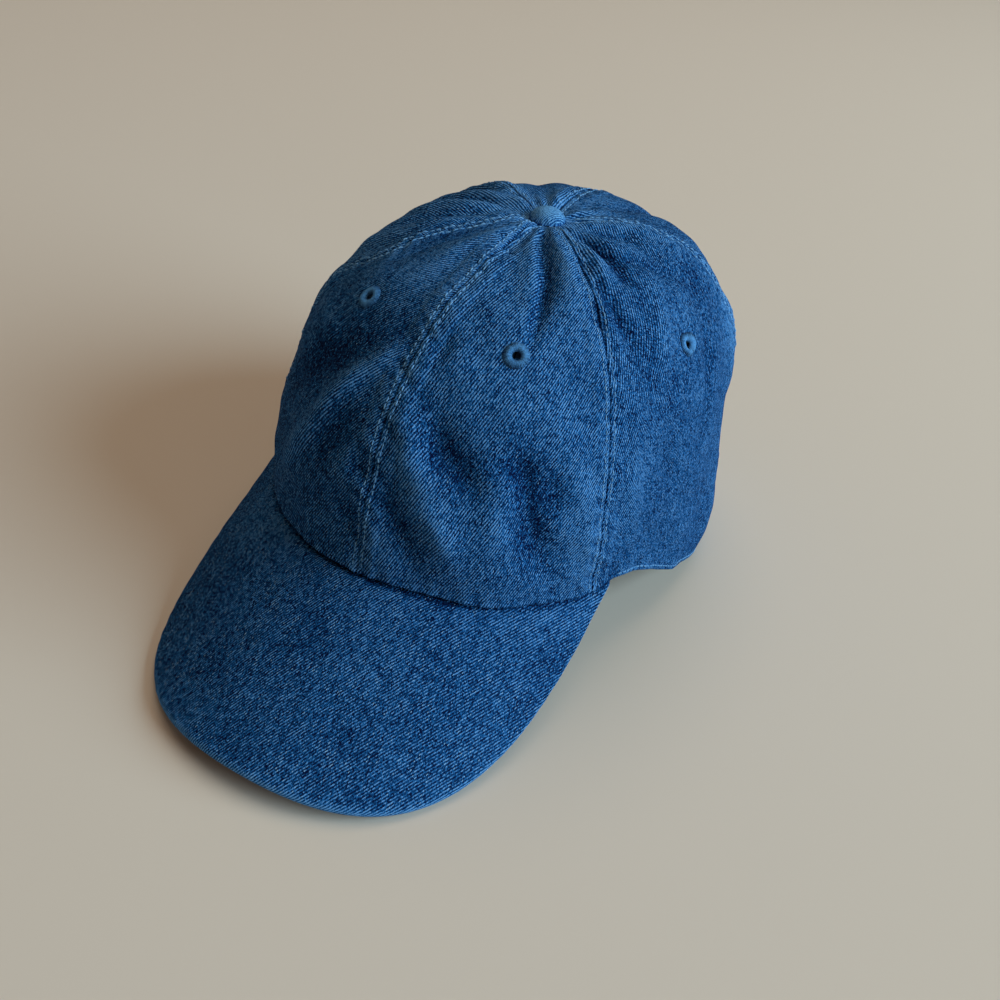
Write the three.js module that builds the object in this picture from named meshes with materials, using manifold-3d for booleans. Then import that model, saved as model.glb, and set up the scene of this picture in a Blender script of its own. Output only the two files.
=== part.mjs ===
// A six-panel denim baseball cap, standing on its brim and its back hem.
// Millimetres. +Z is up, the brim points to -Y, and the wearer's left is +X.
import * as THREE from 'three';
import { mergeVertices } from 'three/addons/utils/BufferGeometryUtils.js';
import Module from 'manifold-3d';

const wasm = await Module();
wasm.setup();

// ---- driving dimensions -------------------------------------------------
// hem oval, seen in plan: theta runs from the front, 0, to the back, 180
const HALF_WIDTH = 79.8;
const HALF_LENGTH = 97.7;
const LEFT_FLARE = 5.9; // the wearer's left side lies a little wider
const FRONT_SQUARENESS = 2.11;
const BACK_SQUARENESS = 2.62;

// crown
const TOP = new THREE.Vector3(4.7, 8.1, 136.0);
const FRONT_SEAM = 58.8; // degrees, where front and side panels meet
const BACK_SEAM = 120;
const PANEL_THICKNESS = 1.0;
const SEAM_GAP = 0.34;
const TOP_HOLE_ROW = 0.984; // the panels stop short of the button's shank
const HEM_RISE_END = 45; // degrees that the hem takes from the brim to the floor

// brim
const BRIM_CORNER = 65.4; // degrees, where the brim meets the hem
const BRIM_LENGTH = 67.5;
const BRIM_FRONT_HEIGHT = 42.4; // the seam's height at the front
const BRIM_SLOPE = 0.491;
const BRIM_ARCH_RADIUS = 96.3;
const BRIM_FABRIC = 0.8;
const BRIM_BOARD = 2.0;
const LAYER_GAP = 0.32;
const BOARD_SETBACK = 2.2; // the board stops inside the turned edge

// inside of the crown, as depths below the outer face
const TAPE_DEPTH = [1.5, 2.1];
const TAPE_WIDTH = 13;
const BAND_DEPTH = 2.7;
const BAND_THICKNESS = 1.0;
const BAND_HEIGHT = 32;
const BAND_LIFT = 0.8;
const BAND_CLEARANCE = 0.6; // to the strap's inner face
const BAND_END = 157;

// back opening
const ARCH_HALF_ANGLE = 20;
const ARCH_HEIGHT = 44;
const ARCH_SQUARENESS = 2.3;
const BINDING_WIDTH = 9;

// strap, a circular arc round a vertical axis
const STRAP_RADIUS = 84.2; // middle of its thickness
const STRAP_AXIS_Y = 12.4;
const STRAP_THICKNESS = 1.6;
const STRAP_LOW = 4;
const STRAP_HIGH = 24;
const STRAP_START = -36;
const STRAP_END = 42;

// buckle, in its own frame: x along the strap, y outwards, z up
const BUCKLE_ANGLE = 15;
const RAIL = 1.0;
const SLEEVE_GAP = 0.4;
const BUCKLE_FRONT = -7;
const SLEEVE_BACK = 4;
const TAB_BAR = { from: 7.4, to: 8.8, low: 1.85, high: 2.85 };
const HINGE = { x: 1.2, y: 3.3 };
const PIN_RADIUS = 0.6;
const PIN_BORE = 0.95;
const BARREL_RADIUS = 1.45;
const GATE_LENGTH = 9.5;

// small round pieces
const EYELET_HOLE = 1.95;
const EYELET_RADIUS = 5.4;
const EYELET_CUT = 3.3;
const EYELET_ROW = 0.485;
const BUTTON_RADIUS = 6.6;

const RAD = Math.PI / 180;
const clamp01 = (value) => THREE.MathUtils.clamp(value, 0, 1);
const ease = (value, from, to) => THREE.MathUtils.smoothstep(value, from, to);

// ---- surfaces -----------------------------------------------------------
const signedPower = (value, power) => Math.sign(value) * Math.abs(value) ** power;

function hemPlan(angle) {
  const theta = angle > 180 ? angle - 360 : angle;
  const cos = Math.cos(theta * RAD);
  const sin = Math.sin(theta * RAD);
  const power = 2 / (cos > 0 ? FRONT_SQUARENESS : BACK_SQUARENESS);
  const halfWidth = HALF_WIDTH + LEFT_FLARE * ease(theta, BRIM_CORNER, BRIM_CORNER + 40);
  return [halfWidth * signedPower(sin, power), -HALF_LENGTH * signedPower(cos, power)];
}

function brimHeight(x, y) {
  const arch = BRIM_ARCH_RADIUS - Math.sqrt(BRIM_ARCH_RADIUS ** 2 - x * x);
  return BRIM_FRONT_HEIGHT + BRIM_SLOPE * (y + HALF_LENGTH) - arch;
}

function hemHeight(theta) {
  const held = THREE.MathUtils.clamp(theta, -BRIM_CORNER, BRIM_CORNER);
  const fall = ease(Math.abs(theta), BRIM_CORNER, BRIM_CORNER + HEM_RISE_END);
  return brimHeight(...hemPlan(held)) * (1 - fall);
}

// profile powers that make the front tall and the back round
const risePower = (theta) => 0.908 - 0.265 * Math.cos(theta * RAD);
const closePower = (theta) => 0.55 + 0.096 * Math.cos(theta * RAD)
  + 0.019 * Math.cos(2 * theta * RAD) - 0.049 * Math.sin(theta * RAD);
const bulge = (theta) => 0.01 - 0.075 * Math.cos(theta * RAD) + 0.006 * Math.cos(2 * theta * RAD);

// row runs from the hem, 0, to the top, 1, in nearly even steps along the cloth
const ROW_POWER = 1.8;
const rowAngle = (row) => Math.acos(Math.max(1 - row * row, 0) ** ROW_POWER);

function crownSkin(theta, row) {
  const [x, y] = hemPlan(theta);
  const low = hemHeight(theta);
  const angle = rowAngle(row);
  const close = Math.cos(angle) ** closePower(theta) * (1 + bulge(theta) * Math.sin(2 * angle));
  const rise = Math.sin(angle) ** risePower(theta);
  return new THREE.Vector3(
    TOP.x + (x - TOP.x) * close,
    TOP.y + (y - TOP.y) * close,
    low + (TOP.z - low) * rise,
  );
}

function crownNormal(theta, row) {
  const held = THREE.MathUtils.clamp(row, 0.02, 0.97);
  const along = crownSkin(theta + 0.5, held).sub(crownSkin(theta - 0.5, held));
  const upward = crownSkin(theta, held + 0.01).sub(crownSkin(theta, held - 0.01));
  const normal = along.cross(upward).normalize();
  normal.z *= ease(row, 0, 0.2); // the hem stays level through the cloth
  return normal.normalize();
}

const crown = (theta, row, depth = 0) => crownSkin(theta, row)
  .addScaledVector(crownNormal(theta, row), -depth);

function rowAtHeight(theta, height) {
  const rise = height / (TOP.z - hemHeight(theta));
  const angle = Math.asin(clamp01(rise ** (1 / risePower(theta))));
  return Math.sqrt(1 - Math.cos(angle) ** (1 / ROW_POWER));
}

const reach = (theta, row) => Math.max(1, Math.hypot(
  crownSkin(theta, row).x - TOP.x,
  crownSkin(theta, row).y - TOP.y,
));

function brimEdge(u) {
  const [x, y] = hemPlan(BRIM_CORNER);
  const front = -HALF_LENGTH - BRIM_LENGTH;
  const edge = new THREE.CubicBezierCurve(
    new THREE.Vector2(0, front),
    new THREE.Vector2(61.2, front),
    new THREE.Vector2(78, y - 77.7),
    new THREE.Vector2(x, y),
  ).getPoint(Math.abs(u));
  return [Math.sign(u) * edge.x, edge.y];
}

function brim(u, v, depth, setback = 0) {
  const [innerX, innerY] = hemPlan(u * BRIM_CORNER);
  const [outerX, outerY] = brimEdge(u);
  const width = Math.hypot(outerX - innerX, outerY - innerY);
  const along = LAYER_GAP / width + v * (1 - (LAYER_GAP + setback) / width);
  const x = innerX + (outerX - innerX) * along;
  const y = innerY + (outerY - innerY) * along;
  const slopeX = x / Math.sqrt(BRIM_ARCH_RADIUS ** 2 - x * x);
  const normal = new THREE.Vector3(slopeX, -BRIM_SLOPE, 1).normalize();
  const point = new THREE.Vector3(x, y, brimHeight(x, y)).addScaledVector(normal, -depth);
  point.z = Math.max(point.z, 0); // flattened where it stands on the floor
  return point;
}

// ---- solids -------------------------------------------------------------
// A closed shell from two facing grids; point(i, j, side) gives its corners.
function shell(columns, rows, point) {
  const positions = [];
  for (const side of [0, 1]) {
    for (let i = 0; i <= columns; i += 1) {
      for (let j = 0; j <= rows; j += 1) positions.push(...point(i, j, side).toArray());
    }
  }
  const corner = (i, j, side) => (side * (columns + 1) + i) * (rows + 1) + j;
  const index = [];
  const quad = (a, b, c, d) => index.push(a, b, c, a, c, d);
  for (let i = 0; i < columns; i += 1) {
    for (let j = 0; j < rows; j += 1) {
      quad(corner(i, j, 0), corner(i + 1, j, 0), corner(i + 1, j + 1, 0), corner(i, j + 1, 0));
      quad(corner(i, j, 1), corner(i, j + 1, 1), corner(i + 1, j + 1, 1), corner(i + 1, j, 1));
    }
  }
  for (let i = 0; i < columns; i += 1) {
    quad(corner(i, 0, 1), corner(i + 1, 0, 1), corner(i + 1, 0, 0), corner(i, 0, 0));
    quad(corner(i, rows, 0), corner(i + 1, rows, 0), corner(i + 1, rows, 1), corner(i, rows, 1));
  }
  for (let j = 0; j < rows; j += 1) {
    quad(corner(0, j, 0), corner(0, j + 1, 0), corner(0, j + 1, 1), corner(0, j, 1));
    quad(corner(columns, j, 1), corner(columns, j + 1, 1),
      corner(columns, j + 1, 0), corner(columns, j, 0));
  }
  const geometry = new THREE.BufferGeometry();
  geometry.setAttribute('position', new THREE.Float32BufferAttribute(positions, 3));
  geometry.setIndex(index);
  return facingOut(geometry);
}

function signedVolume(geometry) {
  const place = geometry.getAttribute('position');
  const index = geometry.getIndex();
  const [a, b, c] = [new THREE.Vector3(), new THREE.Vector3(), new THREE.Vector3()];
  let volume = 0;
  for (let k = 0; k < index.count; k += 3) {
    a.fromBufferAttribute(place, index.getX(k));
    b.fromBufferAttribute(place, index.getX(k + 1));
    c.fromBufferAttribute(place, index.getX(k + 2));
    volume += a.dot(b.cross(c)) / 6;
  }
  return volume;
}

function facingOut(geometry) {
  if (signedVolume(geometry) < 0) geometry.index.array.reverse();
  return geometry;
}

function toSolid(geometry, matrix = new THREE.Matrix4()) {
  const bare = geometry.clone().applyMatrix4(matrix);
  bare.deleteAttribute('normal');
  bare.deleteAttribute('uv');
  const merged = mergeVertices(bare, 1e-5);
  return new wasm.Manifold(new wasm.Mesh({
    numProp: 3,
    vertProperties: new Float32Array(merged.getAttribute('position').array),
    triVerts: new Uint32Array(merged.getIndex().array),
  }));
}

function toGeometry(solid) {
  const mesh = solid.getMesh();
  const geometry = new THREE.BufferGeometry();
  geometry.setAttribute('position', new THREE.Float32BufferAttribute(mesh.vertProperties, 3));
  geometry.setIndex(new THREE.Uint32BufferAttribute(mesh.triVerts, 1));
  return geometry;
}

function block(x, y, z) {
  const size = [x[1] - x[0], y[1] - y[0], z[1] - z[0]];
  const middle = [(x[0] + x[1]) / 2, (y[0] + y[1]) / 2, (z[0] + z[1]) / 2];
  return toSolid(new THREE.BoxGeometry(...size).translate(...middle));
}

function upright(radius, x, y, z, sides = 16) {
  const cylinder = new THREE.CylinderGeometry(radius, radius, z[1] - z[0], sides);
  return cylinder.rotateX(Math.PI / 2).translate(x, y, (z[0] + z[1]) / 2);
}

const joined = (solids) => toGeometry(solids.reduce((sum, solid) => sum.add(solid)));

function turned(profile, sides = 20) {
  const points = profile.map(([r, z]) => new THREE.Vector2(r, z));
  return facingOut(indexed(new THREE.LatheGeometry(points, sides).rotateX(Math.PI / 2)));
}

function indexed(geometry) {
  geometry.deleteAttribute('normal');
  geometry.deleteAttribute('uv');
  return mergeVertices(geometry, 1e-5);
}

// ---- materials ----------------------------------------------------------
const finish = (color, roughness, metalness = 0) => new THREE.MeshStandardMaterial({
  color, roughness, metalness,
});
const denim = () => finish(0x2a5584, 0.92);
const denimDark = () => finish(0x1d3f66, 0.92);
const thread = () => finish(0x2b4f74, 0.75);
const twill = () => finish(0x27394f, 0.9);
const brass = () => finish(0x8a7448, 0.42, 0.9);

const cap = new THREE.Group();

function piece(name, geometry, material, parent = cap) {
  const mesh = new THREE.Mesh(geometry, material);
  mesh.name = name;
  parent.add(mesh);
  return mesh;
}

// ---- crown panels and eyelets -------------------------------------------
const PANEL_ROWS = 15;

// columns of a panel: each has its angle and the row where its cloth starts
function plainColumns(from, to, count) {
  return Array.from({ length: count + 1 }, (_, i) => ({
    theta: THREE.MathUtils.lerp(from, to, i / count), foot: 0,
  }));
}

function archPoint(turn, grow = 1) {
  const power = 2 / ARCH_SQUARENESS;
  const angle = ARCH_HALF_ANGLE * grow * signedPower(Math.cos(turn), power);
  const top = rowAtHeight(180, ARCH_HEIGHT * grow);
  return { theta: 180 - angle, foot: top * Math.max(Math.sin(turn), 0) ** power };
}

function backColumns() {
  const plain = plainColumns(BACK_SEAM, 180 - ARCH_HALF_ANGLE, 5).slice(0, -1);
  const arch = Array.from({ length: 9 }, (_, i) => archPoint(i / 8 * Math.PI / 2));
  return [...plain, ...arch];
}

function mirrored(columns) {
  return columns.map(({ theta, foot }) => ({ theta: -theta, foot })).reverse();
}

function panelShell(columns) {
  const from = columns[0].theta;
  const to = columns.at(-1).theta;
  return shell(columns.length - 1, PANEL_ROWS, (i, j, side) => {
    const { theta, foot } = columns[i];
    const row = THREE.MathUtils.lerp(foot, TOP_HOLE_ROW, j / PANEL_ROWS);
    const inset = (SEAM_GAP / 2) / reach(theta, row) / RAD;
    const across = (theta - from) / (to - from);
    const shifted = THREE.MathUtils.lerp(from + inset, to - inset, across);
    return crown(shifted, row, side * PANEL_THICKNESS);
  });
}

function eyeletPlace(theta) {
  const outward = crownNormal(theta, EYELET_ROW);
  const turn = new THREE.Quaternion().setFromUnitVectors(new THREE.Vector3(0, 0, 1), outward);
  return { position: crownSkin(theta, EYELET_ROW), turn };
}

function addPanel(name, columns, eyeletAngle) {
  const { position, turn } = eyeletPlace(eyeletAngle);
  const place = new THREE.Matrix4().compose(position, turn, new THREE.Vector3(1, 1, 1));
  const punch = toSolid(upright(EYELET_CUT, 0, 0, [-5, 5]), place);
  piece(`${name}_panel`, toGeometry(toSolid(panelShell(columns)).subtract(punch)), denim());
  const ring = piece(`${name}_eyelet`, eyeletRing(), thread());
  ring.position.copy(position);
  ring.quaternion.copy(turn);
}

// a stitched ring: a flange on each face and a neck through the cloth
function eyeletRing() {
  const face = 0.35;
  const back = -PANEL_THICKNESS - 0.85; // clear of the cloth's curve
  const rim = 0.55;
  const neck = EYELET_CUT - 0.4;
  const backRadius = EYELET_RADIUS - 1.1;
  return turned([
    [EYELET_HOLE, face + rim * 0.6], [EYELET_HOLE + 1, face + rim],
    [EYELET_RADIUS - 0.6, face + rim], [EYELET_RADIUS, face + rim * 0.4],
    [EYELET_RADIUS - 0.2, face], [neck, face], [neck, back],
    [backRadius, back], [backRadius, back - rim],
    [EYELET_HOLE, back - rim], [EYELET_HOLE, face + rim * 0.6],
  ], 18);
}

const FRONT_EYELET = FRONT_SEAM / 2;
const SIDE_EYELET = (FRONT_SEAM + BACK_SEAM) / 2;
const BACK_EYELET = (BACK_SEAM + 180) / 2;
const frontColumns = plainColumns(0, FRONT_SEAM, 10);
const sideColumns = plainColumns(FRONT_SEAM, BACK_SEAM, 10);
addPanel('front_left', frontColumns, FRONT_EYELET);
addPanel('front_right', mirrored(frontColumns), -FRONT_EYELET);
addPanel('side_left', sideColumns, SIDE_EYELET);
addPanel('side_right', mirrored(sideColumns), -SIDE_EYELET);
addPanel('back_left', backColumns(), BACK_EYELET);
addPanel('back_right', mirrored(backColumns()), -BACK_EYELET);

// ---- seam tapes, binding and sweatband ----------------------------------
// the tapes keep the panels' rows, so that their facets run parallel
function addSeamTape(name, theta, foot = 0) {
  const rows = PANEL_ROWS - 1; // they end one row short of the button
  const widest = 26; // degrees: the tapes narrow where they meet
  piece(name, shell(2, rows, (i, j, side) => {
    const row = THREE.MathUtils.lerp(foot, TOP_HOLE_ROW, j / PANEL_ROWS);
    const half = Math.min(TAPE_WIDTH / 2 / reach(theta, row) / RAD, widest);
    return crown(theta + half * (i - 1), row, TAPE_DEPTH[side]);
  }), twill());
}

addSeamTape('seam_tape_front', 0);
addSeamTape('seam_tape_front_left', FRONT_SEAM);
addSeamTape('seam_tape_front_right', -FRONT_SEAM);
addSeamTape('seam_tape_back_left', BACK_SEAM);
addSeamTape('seam_tape_back_right', -BACK_SEAM);
addSeamTape('seam_tape_back', 180, rowAtHeight(180, ARCH_HEIGHT + BINDING_WIDTH + 2));

piece('opening_binding', shell(28, 1, (i, j, side) => {
  const grow = 1 + j * (BINDING_WIDTH / ARCH_HEIGHT);
  const { theta, foot } = archPoint(i / 28 * Math.PI, grow + 0.005);
  return crown(theta, foot + 0.004, TAPE_DEPTH[side]);
}), denimDark());

// at the back the band stands off the panels, inside the strap's arc
function insideStrap(point, side) {
  const radius = Math.hypot(point.x, point.y - STRAP_AXIS_Y);
  const most = STRAP_RADIUS - STRAP_THICKNESS / 2 - BAND_CLEARANCE - side * BAND_THICKNESS;
  if (point.y < STRAP_AXIS_Y || radius < most) return point;
  point.x *= most / radius;
  point.y = STRAP_AXIS_Y + (point.y - STRAP_AXIS_Y) * most / radius;
  return point;
}

piece('sweatband', shell(54, 3, (i, j, side) => {
  const theta = THREE.MathUtils.lerp(-BAND_END, BAND_END, i / 54);
  const height = BAND_LIFT + (BAND_HEIGHT - BAND_LIFT) * j / 3;
  const point = crown(theta, rowAtHeight(theta, height), BAND_DEPTH + side * BAND_THICKNESS);
  return insideStrap(point, side);
}), twill());

// ---- brim ---------------------------------------------------------------
const BRIM_SPAN = 0.972; // the layers end just short of the two corners

function addBrimLayer(name, depth, thickness, setback, material) {
  const columns = 30;
  const rows = 5;
  piece(name, shell(columns, rows, (i, j, side) => {
    const u = THREE.MathUtils.lerp(-BRIM_SPAN, BRIM_SPAN, i / columns);
    return brim(u, j / rows, depth + side * thickness, setback);
  }), material);
}

const BOARD_DEPTH = BRIM_FABRIC + LAYER_GAP;
const UNDER_DEPTH = BOARD_DEPTH + BRIM_BOARD + LAYER_GAP;
addBrimLayer('brim_top', 0, BRIM_FABRIC, 0, denim());
addBrimLayer('brim_board', BOARD_DEPTH, BRIM_BOARD, BOARD_SETBACK, finish(0xd8d4c8, 0.7));
addBrimLayer('brim_under', UNDER_DEPTH, BRIM_FABRIC, 0, denimDark());

// ---- top button ---------------------------------------------------------
function addButton() {
  const base = 0.5; // above the panels
  const cover = turned([
    [0, base + 4.4], [2.4, base + 4.1], [4.6, base + 3.1], [6.1, base + 1.5],
    [BUTTON_RADIUS, base + 0.4], [6.2, base], [5.0, base], [5.0, base + 0.5],
    [5.75, base + 0.7], [5.2, base + 1.7], [3.9, base + 2.6], [2, base + 3.4], [0, base + 3.65],
  ]);
  const metal = turned([
    [0, base + 3.25], [1.9, base + 3.0], [3.6, base + 2.3], [4.7, base + 1.3],
    [4.7, base + 0.6], [4.1, base + 0.6], [4.1, base + 1.1], [3.2, base + 1.8],
    [1.7, base + 2.4], [0, base + 2.6],
  ]);
  const disc = -TAPE_DEPTH[1] - 0.4;
  const rivet = turned([
    [0, base + 2.1], [0.9, base + 1.8], [1.2, base + 1.2], [1.2, disc],
    [5.6, disc], [6.0, disc - 0.35], [5.6, disc - 0.7], [0, disc - 0.9],
  ]);
  piece('button_cover', cover, denim()).position.copy(TOP);
  piece('button_shell', metal, finish(0xb9bbbd, 0.4, 0.9)).position.copy(TOP);
  piece('button_rivet', rivet, finish(0xb9bbbd, 0.4, 0.9)).position.copy(TOP);
}
addButton();

// ---- strap, keeper tab and buckle ---------------------------------------
// wraps a flat piece round the strap's axis: x becomes the arc, y the radius
function wrapped(geometry) {
  const place = geometry.getAttribute('position');
  for (let k = 0; k < place.count; k += 1) {
    const angle = place.getX(k) / STRAP_RADIUS;
    const radius = STRAP_RADIUS + place.getY(k);
    place.setX(k, radius * Math.sin(angle));
    place.setY(k, STRAP_AXIS_Y + radius * Math.cos(angle));
  }
  return facingOut(indexed(geometry));
}

const arc = (degrees) => degrees * RAD * STRAP_RADIUS;

function addStrap() {
  const columns = 26;
  const corner = 3; // the free end's corners are cut back
  const middle = (STRAP_LOW + STRAP_HIGH) / 2;
  const half = (STRAP_HIGH - STRAP_LOW) / 2;
  const flat = shell(columns, 2, (i, j, side) => {
    const x = THREE.MathUtils.lerp(arc(STRAP_START), arc(STRAP_END), i / columns);
    const tip = i === columns ? half - corner : half;
    return new THREE.Vector3(x, (side - 0.5) * STRAP_THICKNESS, middle + tip * (j - 1));
  });
  piece('strap', wrapped(flat), denim());
}
addStrap();

// the tab folds round the buckle's bar; both legs are sewn behind the panel
function addKeeperTab() {
  const cloth = 0.75;
  const start = arc(BUCKLE_ANGLE) + TAB_BAR.from - 0.3 - cloth;
  const split = arc(BUCKLE_ANGLE) + TAB_BAR.to + 2.4;
  const end = arc(31);
  const inner = STRAP_THICKNESS / 2 + 0.35;
  const outer = 4.25;
  const steps = 8;
  const legs = Array.from({ length: steps + 1 }, (_, k) => split + (end - split) * k / steps);
  const outline = new THREE.Shape([
    [start, inner + 0.5], [start + 0.5, inner], [start + 3, inner],
    ...legs.map((x) => [x, inner]),
    ...legs.toReversed().map((x) => [x, inner + 2 * cloth]),
    [start + 3.4, outer], [start + 0.6, outer], [start, outer - 0.5],
  ].map(([x, y]) => new THREE.Vector2(x, y)));
  outline.holes.push(new THREE.Path([
    [start + cloth, inner + cloth], [start + cloth, outer - cloth],
    [start + 3.1, outer - cloth], [split - 0.6, inner + cloth + 0.2], [split - 0.9, inner + cloth],
  ].map(([x, y]) => new THREE.Vector2(x, y))));
  const height = STRAP_HIGH - STRAP_LOW - 0.4;
  const tab = new THREE.ExtrudeGeometry(outline, { depth: height, bevelEnabled: false });
  piece('keeper_tab', wrapped(tab.translate(0, 0, STRAP_LOW + 0.2)), denimDark());
}
addKeeperTab();

function addBuckle() {
  const low = STRAP_LOW - 0.6;
  const high = STRAP_HIGH + 0.6;
  const rails = [[low - RAIL, low], [high, high + RAIL]];
  const face = STRAP_THICKNESS / 2 + SLEEVE_GAP;
  const whole = [low - RAIL, high + RAIL];
  const ears = [[low, low + 1.5], [high - 1.5, high]];
  const back = [SLEEVE_BACK - 1.4, SLEEVE_BACK];
  const solids = [
    ...rails.map((z) => block([BUCKLE_FRONT, TAB_BAR.to], [-face - RAIL, TAB_BAR.high], z)),
    block([BUCKLE_FRONT, SLEEVE_BACK], [-face - RAIL, -face], whole),
    block([BUCKLE_FRONT, BUCKLE_FRONT + 1.3], [face, face + RAIL], whole),
    block(back, [face, face + RAIL], whole),
    block([TAB_BAR.from, TAB_BAR.to], [TAB_BAR.low, TAB_BAR.high], whole),
    ...ears.map((z) => block([HINGE.x - 1.5, SLEEVE_BACK], [face, HINGE.y + 1.5], z)),
  ];
  const bore = toSolid(upright(PIN_BORE, HINGE.x, HINGE.y, [0, 40]));
  const frame = toSolid(joined(solids)).subtract(bore);

  const buckle = new THREE.Group();
  buckle.rotation.z = -BUCKLE_ANGLE * RAD;
  buckle.position.set(
    STRAP_RADIUS * Math.sin(BUCKLE_ANGLE * RAD),
    STRAP_AXIS_Y + STRAP_RADIUS * Math.cos(BUCKLE_ANGLE * RAD),
    0,
  );
  cap.add(buckle);
  piece('buckle_frame', toGeometry(frame), brass(), buckle);
  const pin = upright(PIN_RADIUS, HINGE.x, HINGE.y, [low - 0.2, high + 0.2], 12);
  piece('buckle_pin', facingOut(indexed(pin)), brass(), buckle);

  // the gate: a barrel on the pin, a plate, a turned-up lip and the edge that grips the strap
  const leaf = [ears[0][1] + 0.35, ears[1][0] - 0.35];
  const tip = HINGE.x - GATE_LENGTH;
  const tooth = [STRAP_THICKNESS / 2 + 0.35, HINGE.y];
  const gate = toSolid(joined([
    toSolid(upright(BARREL_RADIUS, HINGE.x, HINGE.y, leaf)),
    block([tip, HINGE.x - 0.2], [HINGE.y - 0.5, HINGE.y + 0.5], leaf),
    block([tip - 0.9, tip + 0.1], [HINGE.y - 0.5, HINGE.y + 1.3], leaf),
    block([HINGE.x - 5.9, HINGE.x - 4.9], tooth, leaf),
  ])).subtract(bore);
  piece('buckle_gate', toGeometry(gate), brass(), buckle);
}
addBuckle();

// ---- origin: under the middle of the whole cap, on the floor -------------
cap.updateMatrixWorld(true);
const bounds = new THREE.Box3().setFromObject(cap, true);
const centre = bounds.getCenter(new THREE.Vector3());
cap.position.set(-centre.x, -centre.y, -bounds.min.z);

export default cap;
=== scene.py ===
"""The looks of a six-panel denim baseball cap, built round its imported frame.

Shapes are worked out in millimetres in the crown's own frame: the hem's oval has its centre at
x = y = 0, the brim points to -Y, +X is the wearer's left and the floor is z = 0. Angles round the
crown are degrees from the front, and a row runs from the hem, 0, to the top, 1.
"""
import math

import bmesh
import bpy
import numpy as np
from mathutils import Matrix, Vector


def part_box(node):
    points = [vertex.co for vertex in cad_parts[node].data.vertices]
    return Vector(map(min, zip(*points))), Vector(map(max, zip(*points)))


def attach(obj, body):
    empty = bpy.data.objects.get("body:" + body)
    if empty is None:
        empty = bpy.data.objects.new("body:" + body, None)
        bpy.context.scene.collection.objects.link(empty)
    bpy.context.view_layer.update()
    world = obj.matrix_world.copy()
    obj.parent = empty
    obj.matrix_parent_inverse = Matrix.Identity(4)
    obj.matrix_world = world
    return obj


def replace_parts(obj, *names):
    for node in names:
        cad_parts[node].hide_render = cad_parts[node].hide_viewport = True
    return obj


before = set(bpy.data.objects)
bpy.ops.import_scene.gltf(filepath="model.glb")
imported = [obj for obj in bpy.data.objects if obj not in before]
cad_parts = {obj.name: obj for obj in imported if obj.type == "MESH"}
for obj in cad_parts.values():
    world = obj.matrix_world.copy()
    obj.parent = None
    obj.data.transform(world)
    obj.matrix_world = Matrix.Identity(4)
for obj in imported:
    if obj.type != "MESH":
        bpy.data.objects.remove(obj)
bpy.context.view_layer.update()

# ---- dimensions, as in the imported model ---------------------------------
# the hem's oval, in plan; its left side stands out by the flare
HALF_WIDTH, HALF_LENGTH = 79.8, 97.7
LEFT_FLARE, LEFT_FLARE_END = 5.9, 105.4
FRONT_SQUARENESS, BACK_SQUARENESS = 2.11, 2.62
TOP = np.array([4.7, 8.1, 136.0])  # the top of the crown, under the button
FRONT_SEAM, BACK_SEAM = 58.8, 120.0
TOP_HOLE_ROW = 0.984  # the panels end here, round the button's rivet
HEM_RISE_END = 45.0  # degrees past the brim's corner, where the hem reaches the floor
ROW_POWER = 1.8
PANEL_THICKNESS = 0.95

BRIM_CORNER = 65.4
BRIM_LENGTH, BRIM_FRONT_HEIGHT, BRIM_SLOPE = 67.5, 42.4, 0.491
BRIM_ARCH_RADIUS = 96.3
BRIM_FABRIC, BRIM_BOARD, LAYER_GAP = 0.8, 2.0, 0.32
BRIM_STACK = 2 * BRIM_FABRIC + BRIM_BOARD + 2 * LAYER_GAP

# depths are measured inwards from the crown's outer face
TAPE_DEPTH, TAPE_THICKNESS, TAPE_WIDTH = 1.5, 0.6, 13.0
BAND_DEPTH, BAND_THICKNESS = 2.7, 1.0
BAND_CLEARANCE, BAND_END, BAND_SLACK = 0.6, 157.0, 0.9
ARCH_HALF_ANGLE, ARCH_HEIGHT, ARCH_SQUARENESS, BINDING_WIDTH = 20.0, 44.0, 2.3, 9.0

STRAP_RADIUS, STRAP_AXIS_Y, STRAP_THICKNESS = 84.2, 12.4, 1.6
STRAP_LOW, STRAP_HIGH, STRAP_START, STRAP_END = 4.0, 24.0, -36.0, 42.0
BUCKLE_ANGLE, TAB_BAR_FROM, TAB_BAR_TO = 15.0, 7.4, 8.8

EYELET_RIM, EYELET_CUT, EYELET_ROW = 4.35, 3.0, 0.485

# the whole cap was moved to stand over the frame's origin; the button says how far
button_low, button_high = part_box("button_cover")
SHIFT = np.array([
    (button_low.x + button_high.x) * 500 - TOP[0],
    (button_low.y + button_high.y) * 500 - TOP[1],
    0.0,
])


def to_frame(points):
    """Millimetres in the crown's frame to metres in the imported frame."""
    return (np.asarray(points, float) + SHIFT) * 0.001


# ---- small numeric helpers ----------------------------------------------
def smooth(value, start, end):
    """An S-shaped step from 0 at the start to 1 at the end."""
    t = np.clip((np.asarray(value, float) - start) / (end - start), 0, 1)
    return t * t * (3 - 2 * t)


def fade_out(value, start, end):
    """The same step from 1 down to 0."""
    return 1 - smooth(value, start, end)


def norm(vectors):
    return np.linalg.norm(vectors, axis=-1)


def bell(value, centre, width):
    """1 at the centre, falling to nothing a few widths away on both sides."""
    return np.exp(-((value - centre) / width) ** 2)


def signed_power(value, power):
    return np.sign(value) * np.abs(value) ** power


def unit(vectors):
    return vectors / np.maximum(np.linalg.norm(vectors, axis=-1, keepdims=True), 1e-12)


def running_length(line):
    """Distance along a line of points, from its first point to each."""
    steps = norm(np.diff(line, axis=0))
    return np.concatenate([[0], np.cumsum(steps)])


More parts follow.
